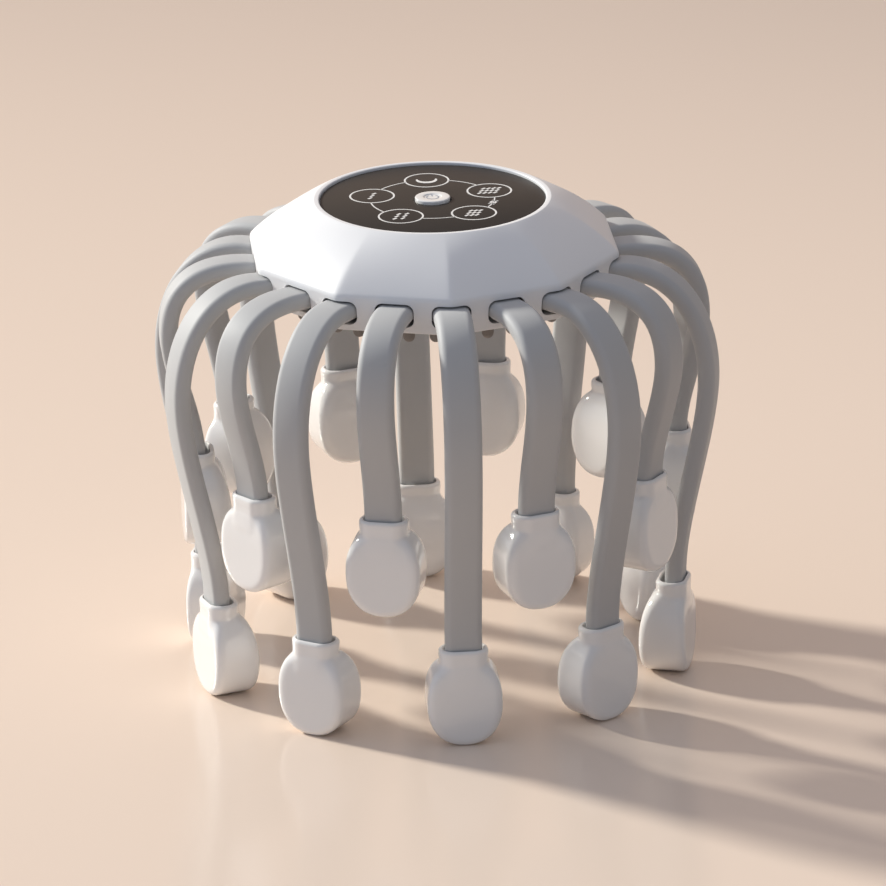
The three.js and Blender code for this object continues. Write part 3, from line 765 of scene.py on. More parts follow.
@dataclass
class Head:
    """Gloss paddle with a sleeve for the arm, measured from the middle of the arm and from its bottom."""

    palette: Palette
    height: float = HEAD_HEIGHT
    half_width: float = 12.4
    widest: float = 14.0
    shoulder: float = 14.6
    back_shoulder: float = 2.4
    lower_fullness: float = 2.25
    upper_fullness: float = 2.6
    outer_edge: float = 2.2
    inner_edge: float = 3.6
    foot_sink: float = 0.05
    outer_face: float = 4.95
    inner_face: float = -11.15
    core: float = -1.0
    taper_start: float = 8.0
    taper_end: float = 31.5
    taper_power: float = 2.6
    lean_start: float = 17.0
    lean: float = 0.0087
    neck_half: float = 8.1
    neck_outer: float = 4.5
    neck_inner: float = -6.0
    neck_corner: float = 5.0
    sleeve_start: float = 19.0
    fillet: float = 1.2
    fillet_reach: float = 4.0
    bead: float = 0.12
    bead_height: float = 1.9
    wall: float = 1.6
    outer_wall: float = 1.25
    lip_outer: float = 1.2
    lip_inner: float = 0.4
    mouth_depth: float = 4.1
    socket_depth: float = 24.6
    socket_half: tuple[float, float] = (3.25, 6.45)
    socket_corner: float = 2.6
    radius: float = ARM_END_RADIUS
    directions: int = 84
    halvings: int = 18
    lower_turns: tuple[float, ...] = (0, 5, 9, 14, 19, 25, 31, 38, 46, 54, 63, 72, 81)
    upper_steps: int = 30

    @property
    def top(self) -> float:
        """Height at which the paddle ends inside the sleeve."""
        return self.widest + self.shoulder + self.back_shoulder

    def faces(self, z: float) -> tuple[float, float]:
        """Where the paddle's two faces are at a height.

        Args:
            z: The height.

        Returns:
            Its inner and its outer face, along the arm's thickness.
        """
        share = min(1.0, max(0.0, (z - self.taper_start) / (self.taper_end - self.taper_start)))
        inner = self.core + (self.inner_face - self.core) * math.sqrt(1 - share**self.taper_power)
        return inner, self.outer_face - self.lean * max(0.0, z - self.lean_start) ** 2

    def in_paddle(self, x: float, y: float, z: float) -> bool:
        """Whether a point lies in the egg-shaped paddle with its round edges.

        Args:
            x: The point's place along the arm's thickness.
            y: Its place across the arm.
            z: Its height.

        Returns:
            True inside the paddle.
        """
        inner, outer = self.faces(z)
        if not inner <= x <= outer or z >= self.top:
            return False
        sides = ((self.outer_edge, outer - x), (self.inner_edge, x - inner))
        edge, depth = min(sides, key=lambda pair: pair[1])
        short = max(0.0, edge - depth)
        inset = edge - math.sqrt(edge**2 - short**2)
        if z > self.widest:
            reach = self.shoulder + self.back_shoulder * (outer - x) / (outer - inner)
            power = self.upper_fullness
        else:
            reach, power = self.widest + self.foot_sink, self.lower_fullness
        rise = abs(z - self.widest) / (reach - inset)
        return rise < 1 and abs(y) <= (self.half_width - inset) * (1 - rise**power) ** (1 / power)

    def in_sleeve(self, x: float, y: float, z: float, inset: float = 0.0) -> bool:
        """Whether a point lies in the sleeve, whose bead swells from two bead heights below the rim.

        Args:
            x: The point's place along the arm's thickness.
            y: Its place across the arm.
            z: Its height.
            inset: How far the sleeve is drawn in all round.

        Returns:
            True inside the sleeve.
        """
        if z < self.sleeve_start:
            return False
        inset -= self.bead * eased((z - self.height) / self.bead_height + 2)
        outer = self.neck_outer - inset * self.outer_wall / self.wall
        inner = self.neck_inner + inset
        half, corner = (outer - inner) / 2, self.neck_corner - inset
        return in_rounded(x - (outer + inner) / 2, y, half, self.neck_half - inset, corner)

    def in_socket(self, x: float, y: float) -> bool:
        """Whether a point lies in the socket that holds the end of the arm."""
        return in_rounded(x, y, *self.socket_half, self.socket_corner)

    def ring(self, z: float, inside: Callable[[float, float], bool], fillet: float = 0.0) -> Ring:
        """The section of a shape at a height, found along rays from its middle.

        Args:
            z: Height of the section.
            inside: Whether a point of the section lies in the shape.
            fillet: Width of the round between this shape and the sleeve.

        Returns:
            The ring of points.
        """
        inner, outer = self.faces(z)
        middle = (inner + outer) / 2
        points = []
        for i in range(self.directions):
            along = spoke(2 * math.pi * i / self.directions)
            reach = self.reach(middle, along, inside)
            if fillet:
                sleeve = self.reach(middle, along, lambda x, y: self.in_sleeve(x, y, z))
                share = max(0.0, 1 - abs(reach - sleeve) / fillet)
                reach = max(reach, sleeve) + share * share * fillet / 4
            points.append(Vector((self.radius + middle, 0, z)) + reach * along)
        return points

    def reach(self, middle: float, along: Vector, inside: Callable[[float, float], bool]) -> float:
        """How far a shape goes from a middle along a ray.

        Args:
            middle: Where the ray starts, along the arm's thickness.
            along: Direction of the ray.
            inside: Whether a point of the section lies in the shape.

        Returns:
            The distance, found by halving.
        """
        near, far = 0.0, self.half_width * 2
        for _ in range(self.halvings):
            half = (near + far) / 2
            if inside(middle + half * along.x, half * along.y):
                near = half
            else:
                far = half
        return near

    def levels(self) -> list[float]:
        """Heights of the paddle's sections, closest where its outline turns.

        Returns:
            The heights from the foot up.
        """
        low = [self.widest * (1 - math.cos(math.radians(a))) for a in self.lower_turns]
        rise = self.top - self.widest
        return [*low, *(self.widest + rise * math.sin(turn) for turn in quarter(self.upper_steps)[:-1])]

    def lip(self) -> list[tuple[float, float]]:
        """Sections from the top of the sleeve over its lip and into the mouth.

        Returns:
            Inset and height of every section.
        """
        top, outer, inner = self.height, self.lip_outer, self.lip_inner
        levels = [(outer * (1 - math.cos(a)), top - outer * (1 - math.sin(a))) for a in quarter(6)]
        for turn in quarter(3):
            levels.append((self.wall - inner * (1 - math.sin(turn)), top - inner * (1 - math.cos(turn))))
        return [*levels, (self.wall, top - self.mouth_depth)]

    def pattern(self) -> Piece:
        """Models one head in its own plane.

        Returns:
            The head, with its foot at height zero.
        """
        rings = []
        for z in self.levels():
            fillet = self.fillet * eased((z - self.sleeve_start) / self.fillet_reach)
            rings.append(self.ring(z, lambda x, y, z=z: self.in_paddle(x, y, z), fillet))
        for z in (self.top, (self.top + self.height - self.lip_outer) / 2):
            rings.append(self.ring(z, lambda x, y, z=z: self.in_sleeve(x, y, z)))
        for inset, z in self.lip():
            rings.append(self.ring(z, lambda x, y, d=inset: self.in_sleeve(x, y, self.height, d)))
        mouth = self.height - self.mouth_depth
        section = self.ring(mouth, self.in_socket)
        rings += [lifted(section, z) for z in (mouth, self.height - self.socket_depth)]
        return smooth(extruded("head", rings), degrees=50)


@dataclass
class ArmShape:
    """Middle line of one kind of arm: out of its slot, over the bulge and down into its head."""

    wall: float
    drop: float
    bulge_radius: float
    bulge_drop: float
    exit_reach: float
    bulge_reach: float
    fall_reach: float
    slot_level: float = SLOT_LEVEL
    exit_lift: float = 2.0
    end_radius: float = ARM_END_RADIUS
    head_height: float = HEAD_HEIGHT
    upper_steps: int = 30
    lower_steps: int = 26

    @property
    def neck(self) -> float:
        """Height of the rim of the head."""
        return self.slot_level - self.drop + self.head_height

    def points(self) -> list[tuple[Vector, Vector]]:
        """Goes along the curve above the bulge and the one below it.

        Returns:
            The points after the housing's wall, each with its direction.
        """
        bulge, neck = self.slot_level - self.bulge_drop, self.neck
        upper = (
            (self.wall, self.slot_level),
            (self.wall + self.exit_reach, self.slot_level + self.exit_lift),
            (self.bulge_radius, bulge + self.bulge_reach),
            (self.bulge_radius, bulge),
        )
        lower = (
            (self.bulge_radius, bulge),
            (self.bulge_radius, bulge - self.fall_reach),
            (self.end_radius, neck + self.fall_reach),
            (self.end_radius, neck),
        )
        found = []
        for corners, steps in ((upper, self.upper_steps), (lower, self.lower_steps)):
            a, b, c, d = (Vector(corner) for corner in corners)
            for step in range(1, steps + 1):
                t = step / steps
                point = (1 - t) ** 3 * a + 3 * t * (1 - t) ** 2 * b + 3 * t * t * (1 - t) * c + t**3 * d
                along = (1 - t) ** 2 * (b - a) + 2 * t * (1 - t) * (c - b) + t * t * (d - c)
                found.append((point, along.normalized()))
        return found


@dataclass
class Arms:
    """The silicone arms with their heads."""

    palette: Palette
    head: Head
    width: float = 12.3
    thickness: float = 5.9
    edge: float = 2.5
    housing_wall: float = 2.0
    root_length: float = 7.0
    flange: float = 3.0
    flange_step: float = 0.3
    flange_width: float = 14.2
    grip: float = 11.0
    end_gap: float = 0.6
    motor_radius: float = 5.0
    motor_thickness: float = 3.4
    motor_chamfer: float = 0.35
    motor_face_shares: tuple[float, float] = (0.97, 0.93)
    motor_points: int = 40
    motor_lead: float = 1.0
    crease_radius: float = 63.2
    bend_reach: float = 21.5
    bend_drop: float = 10.7

    def __post_init__(self) -> None:
        """Sets out the middle lines of the two kinds of arm."""
        self.shapes = {
            ArmKind.LONG: ArmShape(
                wall=self.crease_radius,
                drop=SLOT_LEVEL,
                bulge_radius=92.8,
                bulge_drop=35.9,
                exit_reach=18,
                bulge_reach=21,
                fall_reach=20,
            ),
            ArmKind.SHORT: ArmShape(
                wall=self.crease_radius * math.cos(math.pi / PAIRS),
                drop=96.0,
                bulge_radius=89.1,
                bulge_drop=22.4,
                exit_reach=19,
                bulge_reach=17,
                fall_reach=12,
            ),
        }

    def section(self, centre: Vector, along: Vector, width: float) -> Ring:
        """One section of an arm, square to its direction.

        Args:
            centre: Its middle, in the arm's plane.
            along: Direction of the arm there.
            width: Width of the arm there.

        Returns:
            The ring of points.
        """
        across = Vector((-along.y, along.x))
        outline = rounded_rectangle(width / 2, self.thickness / 2, self.edge)
        return [Vector((centre.x + across.x * p.y, p.x, centre.y + across.y * p.y)) for p in outline]

    def pattern(self, shape: ArmShape) -> Piece:
        """Models one arm in its own plane, from its flange inside the hub to its end in the head.

        Args:
            shape: The kind of arm.

        Returns:
            The arm.
        """
        inner = shape.wall - self.housing_wall - self.root_length
        root = (
            (inner, self.flange_width),
            (inner + self.flange, self.flange_width),
            (inner + self.flange + self.flange_step, self.width),
            (shape.wall, self.width),
        )
        out, down = Vector((1, 0)), Vector((0, -1))
        rings = [self.section(Vector((reach, shape.slot_level)), out, width) for reach, width in root]
        rings += [self.section(point, along, self.width) for point, along in shape.points()]
        end = Vector((shape.end_radius, shape.neck - self.grip + self.end_gap))
        rings.append(self.section(end, down, self.width))
        return smooth(extruded("arm", rings), degrees=50)

    def motor_pattern(self, shape: ArmShape) -> Piece:
        """Models the coin motor at the end of an arm, with its rim turned over.

        Args:
            shape: The kind of arm.

        Returns:
            The motor.
        """
        half = self.motor_thickness / 2
        flank = half - self.motor_chamfer
        inner_face, outer_face = self.motor_face_shares
        height = shape.neck - self.grip - self.motor_lead - self.motor_radius
        rings = []
        for share, x in ((inner_face, -half), (1.0, -flank), (1.0, flank), (outer_face, half)):
            disc = circle(self.motor_radius * share, 0.0, self.motor_points)
            rings.append([Vector((shape.end_radius + x, p.x, height + p.y)) for p in disc])
        return smooth(extruded("motor", rings))

    def build(self) -> None:
        """Places every arm, its motor and its head."""
        head = self.head.pattern()
        for kind, shape in self.shapes.items():
            arm, motor = self.pattern(shape), self.motor_pattern(shape)
            foot = Vector((0, 0, shape.neck - shape.head_height))
            for number in range(1, PAIRS + 1):
                turn = arm_angle(2 * (number - 1) + kind.value)
                body = f"{kind.word}_arm_{number}"
                self.place_arm(copy_of(arm, f"silicone_arm_{kind.word}_{number}", turn), kind, number)
                coin = copy_of(motor, f"vibration_motor_{kind.word}_{number}", turn)
                self.palette.place(coin, PLATED_STEEL, body)
                paddle = copy_of(head, f"paddle_head_{kind.word}_{number}", turn, foot)
                self.palette.place(paddle, GLOSS_ABS, body, f"head_{kind.word}_{number}")
            remove(arm, motor)
        remove(head)

    def place_arm(self, arm: Piece, kind: ArmKind, number: int) -> None:
        """Dresses an arm, fixes its place into its mesh and hides the node that it replaces.

        Args:
            arm: The arm, in its place.
            kind: Its kind.
            number: Its number among its kind.
        """
        self.palette.dress_new(arm, SILICONE)
        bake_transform(arm)
        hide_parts(f"arm_{kind.word}_{number}")
        LOG.info("%s bends from the hub: %d faces", arm.name, len(arm.data.polygons))


@dataclass
class ControlPanel:
    """Dark round panel with thin printed signs, and the button in its middle."""

    palette: Palette
    radius: float = 37.4
    thickness: float = 1.0
    edge_round: float = 0.2
    edge_bow: float = 0.3
    hole: float = 6.3
    plate_points: int = 128
    button_radius: float = 5.9
    button_proud: float = 1.0
    button_round: float = 0.45
    button_points: int = 72
    dish_radius: float = 3.0
    dish_depth: float = 0.3
    dish_ease: float = 0.04
    dish_edge: tuple[float, float, float, float] = (0.25, 0.1, 0.1, 0.3)
    flange: float = 7.0
    flange_thickness: float = 0.8
    stem: float = 1.5
    travel_gap: float = 0.3
    power_radius: float = 2.0
    power_opening: float = 70.0
    power_line: tuple[float, float] = (0.9, 2.5)
    power_stroke: float = 0.42
    sign_count: int = 5
    sign_ring: float = 20.6
    sign_radius: float = 7.3
    stroke: float = 0.6
    link_stroke: float = 0.45
    wave_steps: tuple[float, ...] = (0.0, 2.7, 1.65, 1.75)
    wave_rise: tuple[float, float] = (0.87, 2.3)
    dash: tuple[float, float] = (1.35, 1.3)
    dash_stroke: float = 0.85
    moon_radius: float = 3.2
    moon_shift: float = 0.9
    moon_ends: tuple[float, float] = (172.0, 368.0)
    moon_widths: tuple[float, float] = (0.5, 1.2)
    moon_steps: int = 28
    plug_degrees: float = -18.0
    plug_along: tuple[float, float] = (0.45, 0.89)
    plug_bar: float = 2.1
    plug_bar_gap: float = 0.75
    plug_cap: float = 1.15
    plug_cap_gap: float = 1.3
    plug_strokes: tuple[float, float] = (0.8, 0.7)
    print_height: float = 0.04

    def __post_init__(self) -> None:
        """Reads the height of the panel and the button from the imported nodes."""
        self.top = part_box("control_panel")[1].z / MM
        self.stem_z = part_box("mode_button")[0].z / MM

    def plate(self) -> Piece:
        """Models the acrylic disc with its hole.

        Returns:
            The disc.
        """
        low, r = self.top - self.thickness, self.edge_round
        bow = r * self.edge_bow
        profile = [(self.hole, low), (self.radius, low), (self.radius, self.top - r)]
        profile += [(self.radius - bow, self.top - bow), (self.radius - r, self.top)]
        profile += [(self.hole + r, self.top), (self.hole, self.top - r)]
        rings = [circle(radius, z, self.plate_points) for radius, z in profile]
        return smooth(extruded("acrylic_panel", rings, Ends.LOOPED))

    def button(self) -> Piece:
        """Models the round key with its flange, stem, rounded edge and dished middle.

        Returns:
            The key.
        """
        top = self.top + self.button_proud
        dished = top - self.dish_depth
        r, flange_top = self.button_round, self.top - self.thickness - self.travel_gap
        flange_low = flange_top - self.flange_thickness
        levels = [(self.stem, self.stem_z), (self.stem, flange_low), (self.flange, flange_low)]
        levels += [(self.flange, flange_top), (self.button_radius, flange_top)]
        for turn in quarter(5):
            levels.append((self.button_radius - r * (1 - math.cos(turn)), top - r * (1 - math.sin(turn))))
        start, brink, slope, floor = self.dish_edge
        levels += [(self.dish_radius + start, top), (self.dish_radius + brink, top - self.dish_ease)]
        levels += [(self.dish_radius - slope, dished + self.dish_ease), (self.dish_radius - floor, dished)]
        rings = [circle(radius, z, self.button_points) for radius, z in levels]
        return smooth(extruded("power_key", rings))

    def power_sign(self) -> Piece:
        """Models the plain power sign on the button: an open ring with an upright line.

        Returns:
            The sign.
        """
        low = self.top + self.button_proud - self.dish_depth - self.print_height
        high = low + 2 * self.print_height
        opening = self.power_opening / 2
        ring = arc(Vector((0, 0)), self.power_radius, 90 + opening, 450 - opening)
        line = [Vector((0, y)) for y in self.power_line]
        strokes = []
        for points in (ring, line):
            widths = [self.power_stroke] * len(points)
            strokes.append(ribbon("sign", points, widths, low, high))
        return join(strokes, "power_sign")

    def wave(self, centre: Vector, offset: float) -> list[list[Vector]]:
        """Sets out one column of a vibration sign.

        Args:
            centre: Middle of the sign.
            offset: Of the column from it, along X.

        Returns:
            The ends of its three slanting dashes.
        """
        rise, dash = Vector(self.wave_rise), Vector(self.dash)
        middles = [centre + Vector((offset, 0)) + rise * row for row in (-1, 0, 1)]
        return [[middle - dash / 2, middle + dash / 2] for middle in middles]

    def crescent(self, centre: Vector) -> tuple[list[Vector], list[float]]:
        """Sets out a moon that lies on its back.

        Args:
            centre: Middle of the sign.

        Returns:
            The moon's line and its widths.
        """
        steps, (thin, swell) = self.moon_steps, self.moon_widths
        line = arc(centre + Vector((0, self.moon_shift)), self.moon_radius, *self.moon_ends, steps)
        return line, [thin + swell * math.sin(math.pi * i / steps) for i in range(steps + 1)]

    def signs(self) -> Piece:
        """Models the printed signs: five rings on a circle, a moon, one to four waves, and a small plug.

        Returns:
            All the signs as one piece.
        """
        low, high = self.top - self.print_height, self.top + self.print_height
        strokes = []

        def stroke(line: list[Vector], widths: Sequence[float] | float) -> None:
            """Adds one stroke of even or changing width."""
            each = [widths] * len(line) if isinstance(widths, float) else widths
            strokes.append(ribbon("sign", line, each, low, high))

        gap = 2 * math.degrees(math.asin(self.sign_radius / 2 / self.sign_ring))
        step = 360 / self.sign_count
        for place in range(self.sign_count):
            degrees = 90 + step * place
            centre = self.sign_ring * spoke(math.radians(degrees)).xy
            stroke(arc(centre, self.sign_radius, 0, 360, 72), self.stroke)
            link = arc(Vector((0, 0)), self.sign_ring, degrees + gap, degrees + step - gap, 24)
            stroke(link, self.link_stroke)
            if place == 0:
                stroke(*self.crescent(centre))
            for column in range(place):
                for dash in self.wave(centre, self.wave_steps[place - 1] * (column - (place - 1) / 2)):
                    stroke(dash, self.dash_stroke)
        for line, width in self.plug():
            stroke(line, width)
        return join(strokes, "panel_signs")

    def plug(self) -> list[tuple[list[Vector], float]]:
        """Sets out the plug sign on the arc between the two right rings.

        Returns:
            Line and width of each stroke.
        """
        centre = self.sign_ring * spoke(math.radians(self.plug_degrees)).xy
        along = Vector(self.plug_along)
        across = Vector((along.y, -along.x))
        strokes = []
        for first, second, reach, gap, width in (
            (across, along, self.plug_bar, self.plug_bar_gap, self.plug_strokes[0]),
            (along, across, self.plug_cap, self.plug_cap_gap, self.plug_strokes[1]),
        ):
            for middle in (centre - first * gap, centre + first * gap):
                strokes.append(([middle - second * reach, middle + second * reach], width))
        return strokes

    def build(self) -> None:
        """Makes and places the panel, its print and the button."""
        self.palette.place(self.plate(), DARK_ACRYLIC, "hub", "control_panel")
        self.palette.place(self.signs(), WHITE_INK, "hub")
        self.palette.place(self.button(), GLOSS_ABS, "button", "mode_button")
        self.palette.place(self.power_sign(), GREY_INK, "button")


@dataclass
class Underside:
    """What shows from below: base plate, screws, charging socket and the soft pad with its nubs."""

    palette: Palette
    housing: Housing
    plate_thickness: float = 1.7
    plate_bevel: float = 0.4
    pad_inner: float = 37.0
    pad_outer: float = 53.0
    pad_thickness: float = 1.5
    pad_edge: float = 0.4
    pad_points: int = 120
    pad_seat: float = 0.4
    pad_gap: float = 0.02
    seat_clearance: float = 0.3
    nub_ring: float = 50.0
    nub_radius: float = 2.0
    nub_length: float = 4.6
    nub_swell: float = 0.4
    nub_turns: tuple[float, ...] = (12, 30, 48, 66, 84)
    nub_points: int = 16
    nubs: int = 36
    screw_ring: float = 43.0
    screw_points: int = 32
    screw_hole: float = 2.7
    screw_seat: float = 2.6
    screw_profile: tuple[tuple[float, float], ...] = (
        (1.3, -1.3),
        (1.9, -1.18),
        (2.25, -0.85),
        (2.4, -0.35),
        (2.4, 0.0),
        (1.1, 0.0),
        (1.1, 8.4),
        (0.6, 9.0),
    )
    cross_size: tuple[float, float, float] = (1.35, 0.28, 0.2)
    cross_levels: tuple[tuple[float, float], ...] = ((1.0, -2.0), (0.45, -0.5))
    shank_hole: float = 1.4
    shank_span: tuple[float, float] = (1.0, 5.0)
    overcut: float = 1.0
    boss_wall: float = 0.9
    boss_root: float = 0.5
    boss_top: float = 3.9
    screws: int = 5
    socket: tuple[float, float, float] = (9.0, 3.3, 7.4)
    socket_wall: float = 0.4
    socket_offset: float = 24.0
    socket_sink: float = 0.05
    socket_lip: tuple[float, float] = (0.12, 0.15)
    socket_roof: float = 1.0
    mouth_clearance: float = 0.15
    mouth_corner: float = 1.2
    tongue_size: tuple[float, float, float] = (3.3, 0.35, 0.3)
    tongue_levels: tuple[tuple[float, float], ...] = ((0.9, 1.2), (1.0, 1.5), (1.0, 6.6))

    def __post_init__(self) -> None:
        """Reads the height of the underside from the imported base."""
        self.base_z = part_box("bottom_cover")[0].z / MM
        self.pad_top = self.base_z + self.pad_seat
        self.pad_under = self.pad_top - self.pad_thickness

    def screw_place(self, number: int) -> Vector:
        """Place of the axis of one cover screw."""
        turn = arm_angle(0.5) + number * 2 * math.pi / self.screws
        return self.screw_ring * spoke(turn)

    def bars(self, radius: float, low: float, high: float) -> list[Piece]:
        """Round cutters or bosses round the axes of the screws.

        Args:
            radius: Their radius.
            low: Height of their lower ends above the underside.
            high: Height of their upper ends above it.

        Returns:
            One for each screw.
        """
        made = []
        for number in range(self.screws):
            middle = self.screw_place(number)
            ends = (self.base_z + low, self.base_z + high)
            made.append(extruded("bar", [circle(radius, z, self.screw_points, middle) for z in ends]))
        return made

    def base(self) -> Piece:
        """Models the ten-sided plate with recessed screw holes, the mouth of the socket and the pad's seat.

        Returns:
            The plate.
        """
        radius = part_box("bottom_cover")[1].y / MM
        z, thick, bevel = self.base_z, self.plate_thickness, self.plate_bevel
        levels = [(radius - bevel, z), (radius, z + bevel), (radius, z + thick)]
        plate = extruded("base_plate", [self.housing.ring(r, height, 1) for r, height in levels])
        half_x, half_y = (side / 2 + self.mouth_clearance for side in self.socket[:2])
        outline = rounded_rectangle(half_x, half_y, self.mouth_corner)
        ends = (z - self.overcut, z + 2 * thick)
        mouth = [lifted(outline, height, offset=self.socket_offset) for height in ends]
        bosses = self.bars(self.screw_hole + self.boss_wall, self.boss_root, self.boss_top)
        carve(plate, join(bosses, "bosses"), "UNION")
        cutters = self.bars(self.screw_hole, -self.overcut, self.screw_seat)
        cutters += self.bars(self.shank_hole, *self.shank_span)
        for cutter in (*cutters, extruded("mouth", mouth), self.seat()):
            carve(plate, cutter)
        return smooth(plate, degrees=30)

    def seat(self) -> Piece:
        """Models the ring cutter for the shallow recess that the pad lies in.

        Returns:
            The cutter.
        """
        inner, outer = self.pad_inner - self.seat_clearance, self.pad_outer + self.seat_clearance
        low, high = self.base_z - self.overcut, self.pad_top
        profile = [(inner, high), (inner, low), (outer, low), (outer, high)]
        return extruded("seat", [circle(r, z, self.pad_points) for r, z in profile], Ends.LOOPED)

    def screw(self) -> Piece:
        """Models a pan-head screw, head down, with a cross recess.

        Returns:
            The screw, on the object's own axis.
        """
        seat = self.base_z + self.screw_seat
        screw = extruded("screw", [circle(r, seat + z, self.screw_points) for r, z in self.screw_profile])
        outline = rounded_rectangle(*self.cross_size)
        for turn in (0.0, math.pi / 2):
            rings = [[Vector((p.x * s, p.y, seat + z)) for p in outline] for s, z in self.cross_levels]
            slot = extruded("cross", rings)
            slot.data.transform(Matrix.Rotation(turn, 4, "Z"))
            carve(screw, slot)
        return smooth(screw)

    def usb(self) -> Piece:
        """Models the upright oval shell of the charging socket, open downwards.

        Returns:
            The shell.
        """
        low, high = self.base_z + self.socket_sink, self.base_z + self.socket[2]
        half_x, half_y = self.socket[0] / 2, self.socket[1] / 2
        lip, rise = self.socket_lip
        levels = [(0.0, high), (0.0, low + rise), (lip, low), (self.socket_wall, low)]
        levels.append((self.socket_wall, high - self.socket_roof))
        rings = []
        for inset, z in levels:
            corner = half_y - inset - self.socket_sink
            outline = rounded_rectangle(half_x - inset, half_y - inset, corner, steps=10)
            rings.append(lifted(outline, z, offset=self.socket_offset))
        return smooth(extruded("charging_socket", rings))

    def tongue(self) -> Piece:
        """Models the thin plastic tongue in the middle of the socket.

        Returns:
            The tongue.
        """
        outline = rounded_rectangle(*self.tongue_size)
        rings = []
        for share, z in self.tongue_levels:
            rings.append(lifted(outline, self.base_z + z, share, self.socket_offset))
        return smooth(extruded("socket_tongue", rings))

    def pad(self) -> Piece:
        """Models the soft ring with a circle of round-tipped nubs.

        Returns:
            The pad.
        """
        z, low, edge = self.pad_top - self.pad_gap, self.pad_under, self.pad_edge
        profile = [(self.pad_inner, z), (self.pad_inner, low + edge), (self.pad_inner + edge, low)]
        profile += [(self.pad_outer - edge, low), (self.pad_outer, low + edge), (self.pad_outer, z)]
        pad = extruded("nub_pad", [circle(r, h, self.pad_points) for r, h in profile], Ends.LOOPED)
        carve(pad, join([self.nub(i) for i in range(self.nubs)], "nubs"), "UNION")
        return smooth(pad, degrees=40)

    def nub(self, number: int) -> Piece:
        """Models one nub with a domed tip, rooted in the pad.

        Args:
            number: Its place, counted from the front.

        Returns:
            The nub.
        """
        turn = arm_angle(0) + (number + 0.5) * 2 * math.pi / self.nubs
        middle = self.nub_ring * spoke(turn)
        tip, r = self.pad_under - self.nub_length, self.nub_radius
        turns = [math.radians(degrees) for degrees in self.nub_turns]
        levels = [(r * math.sin(a), tip + r * (1 - math.cos(a))) for a in turns]
        levels += [(r, tip + r + self.nub_swell), (r, self.pad_under + self.pad_thickness / 2)]
        rings = [circle(radius, z, self.nub_points, middle) for radius, z in levels]
        return extruded(f"nub_{number}", rings)

    def build(self) -> None:
        """Makes and places everything under the hub."""
        self.palette.place(self.base(), SATIN_ABS, "hub", "bottom_cover")
        screw = self.screw()
        for i in range(self.screws):
            made = copy_of(screw, f"pan_head_screw_{i + 1}", shift=self.screw_place(i))
            self.palette.place(made, ZINC_STEEL, "hub", f"cover_screw_{i + 1}")
        remove(screw)
        self.palette.place(self.usb(), PLATED_STEEL, "hub", "usb_socket")
        self.palette.place(self.tongue(), LEAD_PVC, "hub")
        # The pad and its nubs get the arms' rubber darkened and warmed, which is painted shade from under
        # the hub
        self.palette.place(self.pad(), NUB_RUBBER_PAINTED_SHADE, "hub", "crown_pad")


@dataclass
class InnerParts:
    """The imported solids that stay, with the finish that each real piece has."""

    palette: Palette

    def build(self, nodes: dict[str, Piece]) -> None:
        """Dresses every node that no new piece stands for.

        Args:
            nodes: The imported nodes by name.
        """
        finishes = {
            "arm_clamp_ring": INNER_ABS,
            "tact_switch": PLATED_STEEL,
            "circuit_board": SOLDER_MASK,
            "battery_cell": POUCH_FOIL,
            "wiring_loom": LEAD_PVC,
            "switch_plunger": LEAD_PVC,
            "board_screw_1": ZINC_STEEL,
            "board_screw_2": ZINC_STEEL,
        }
        for name, finish in finishes.items():
            self.palette.dress(nodes[name], finish)
            LOG.info("%s keeps its solid", name)


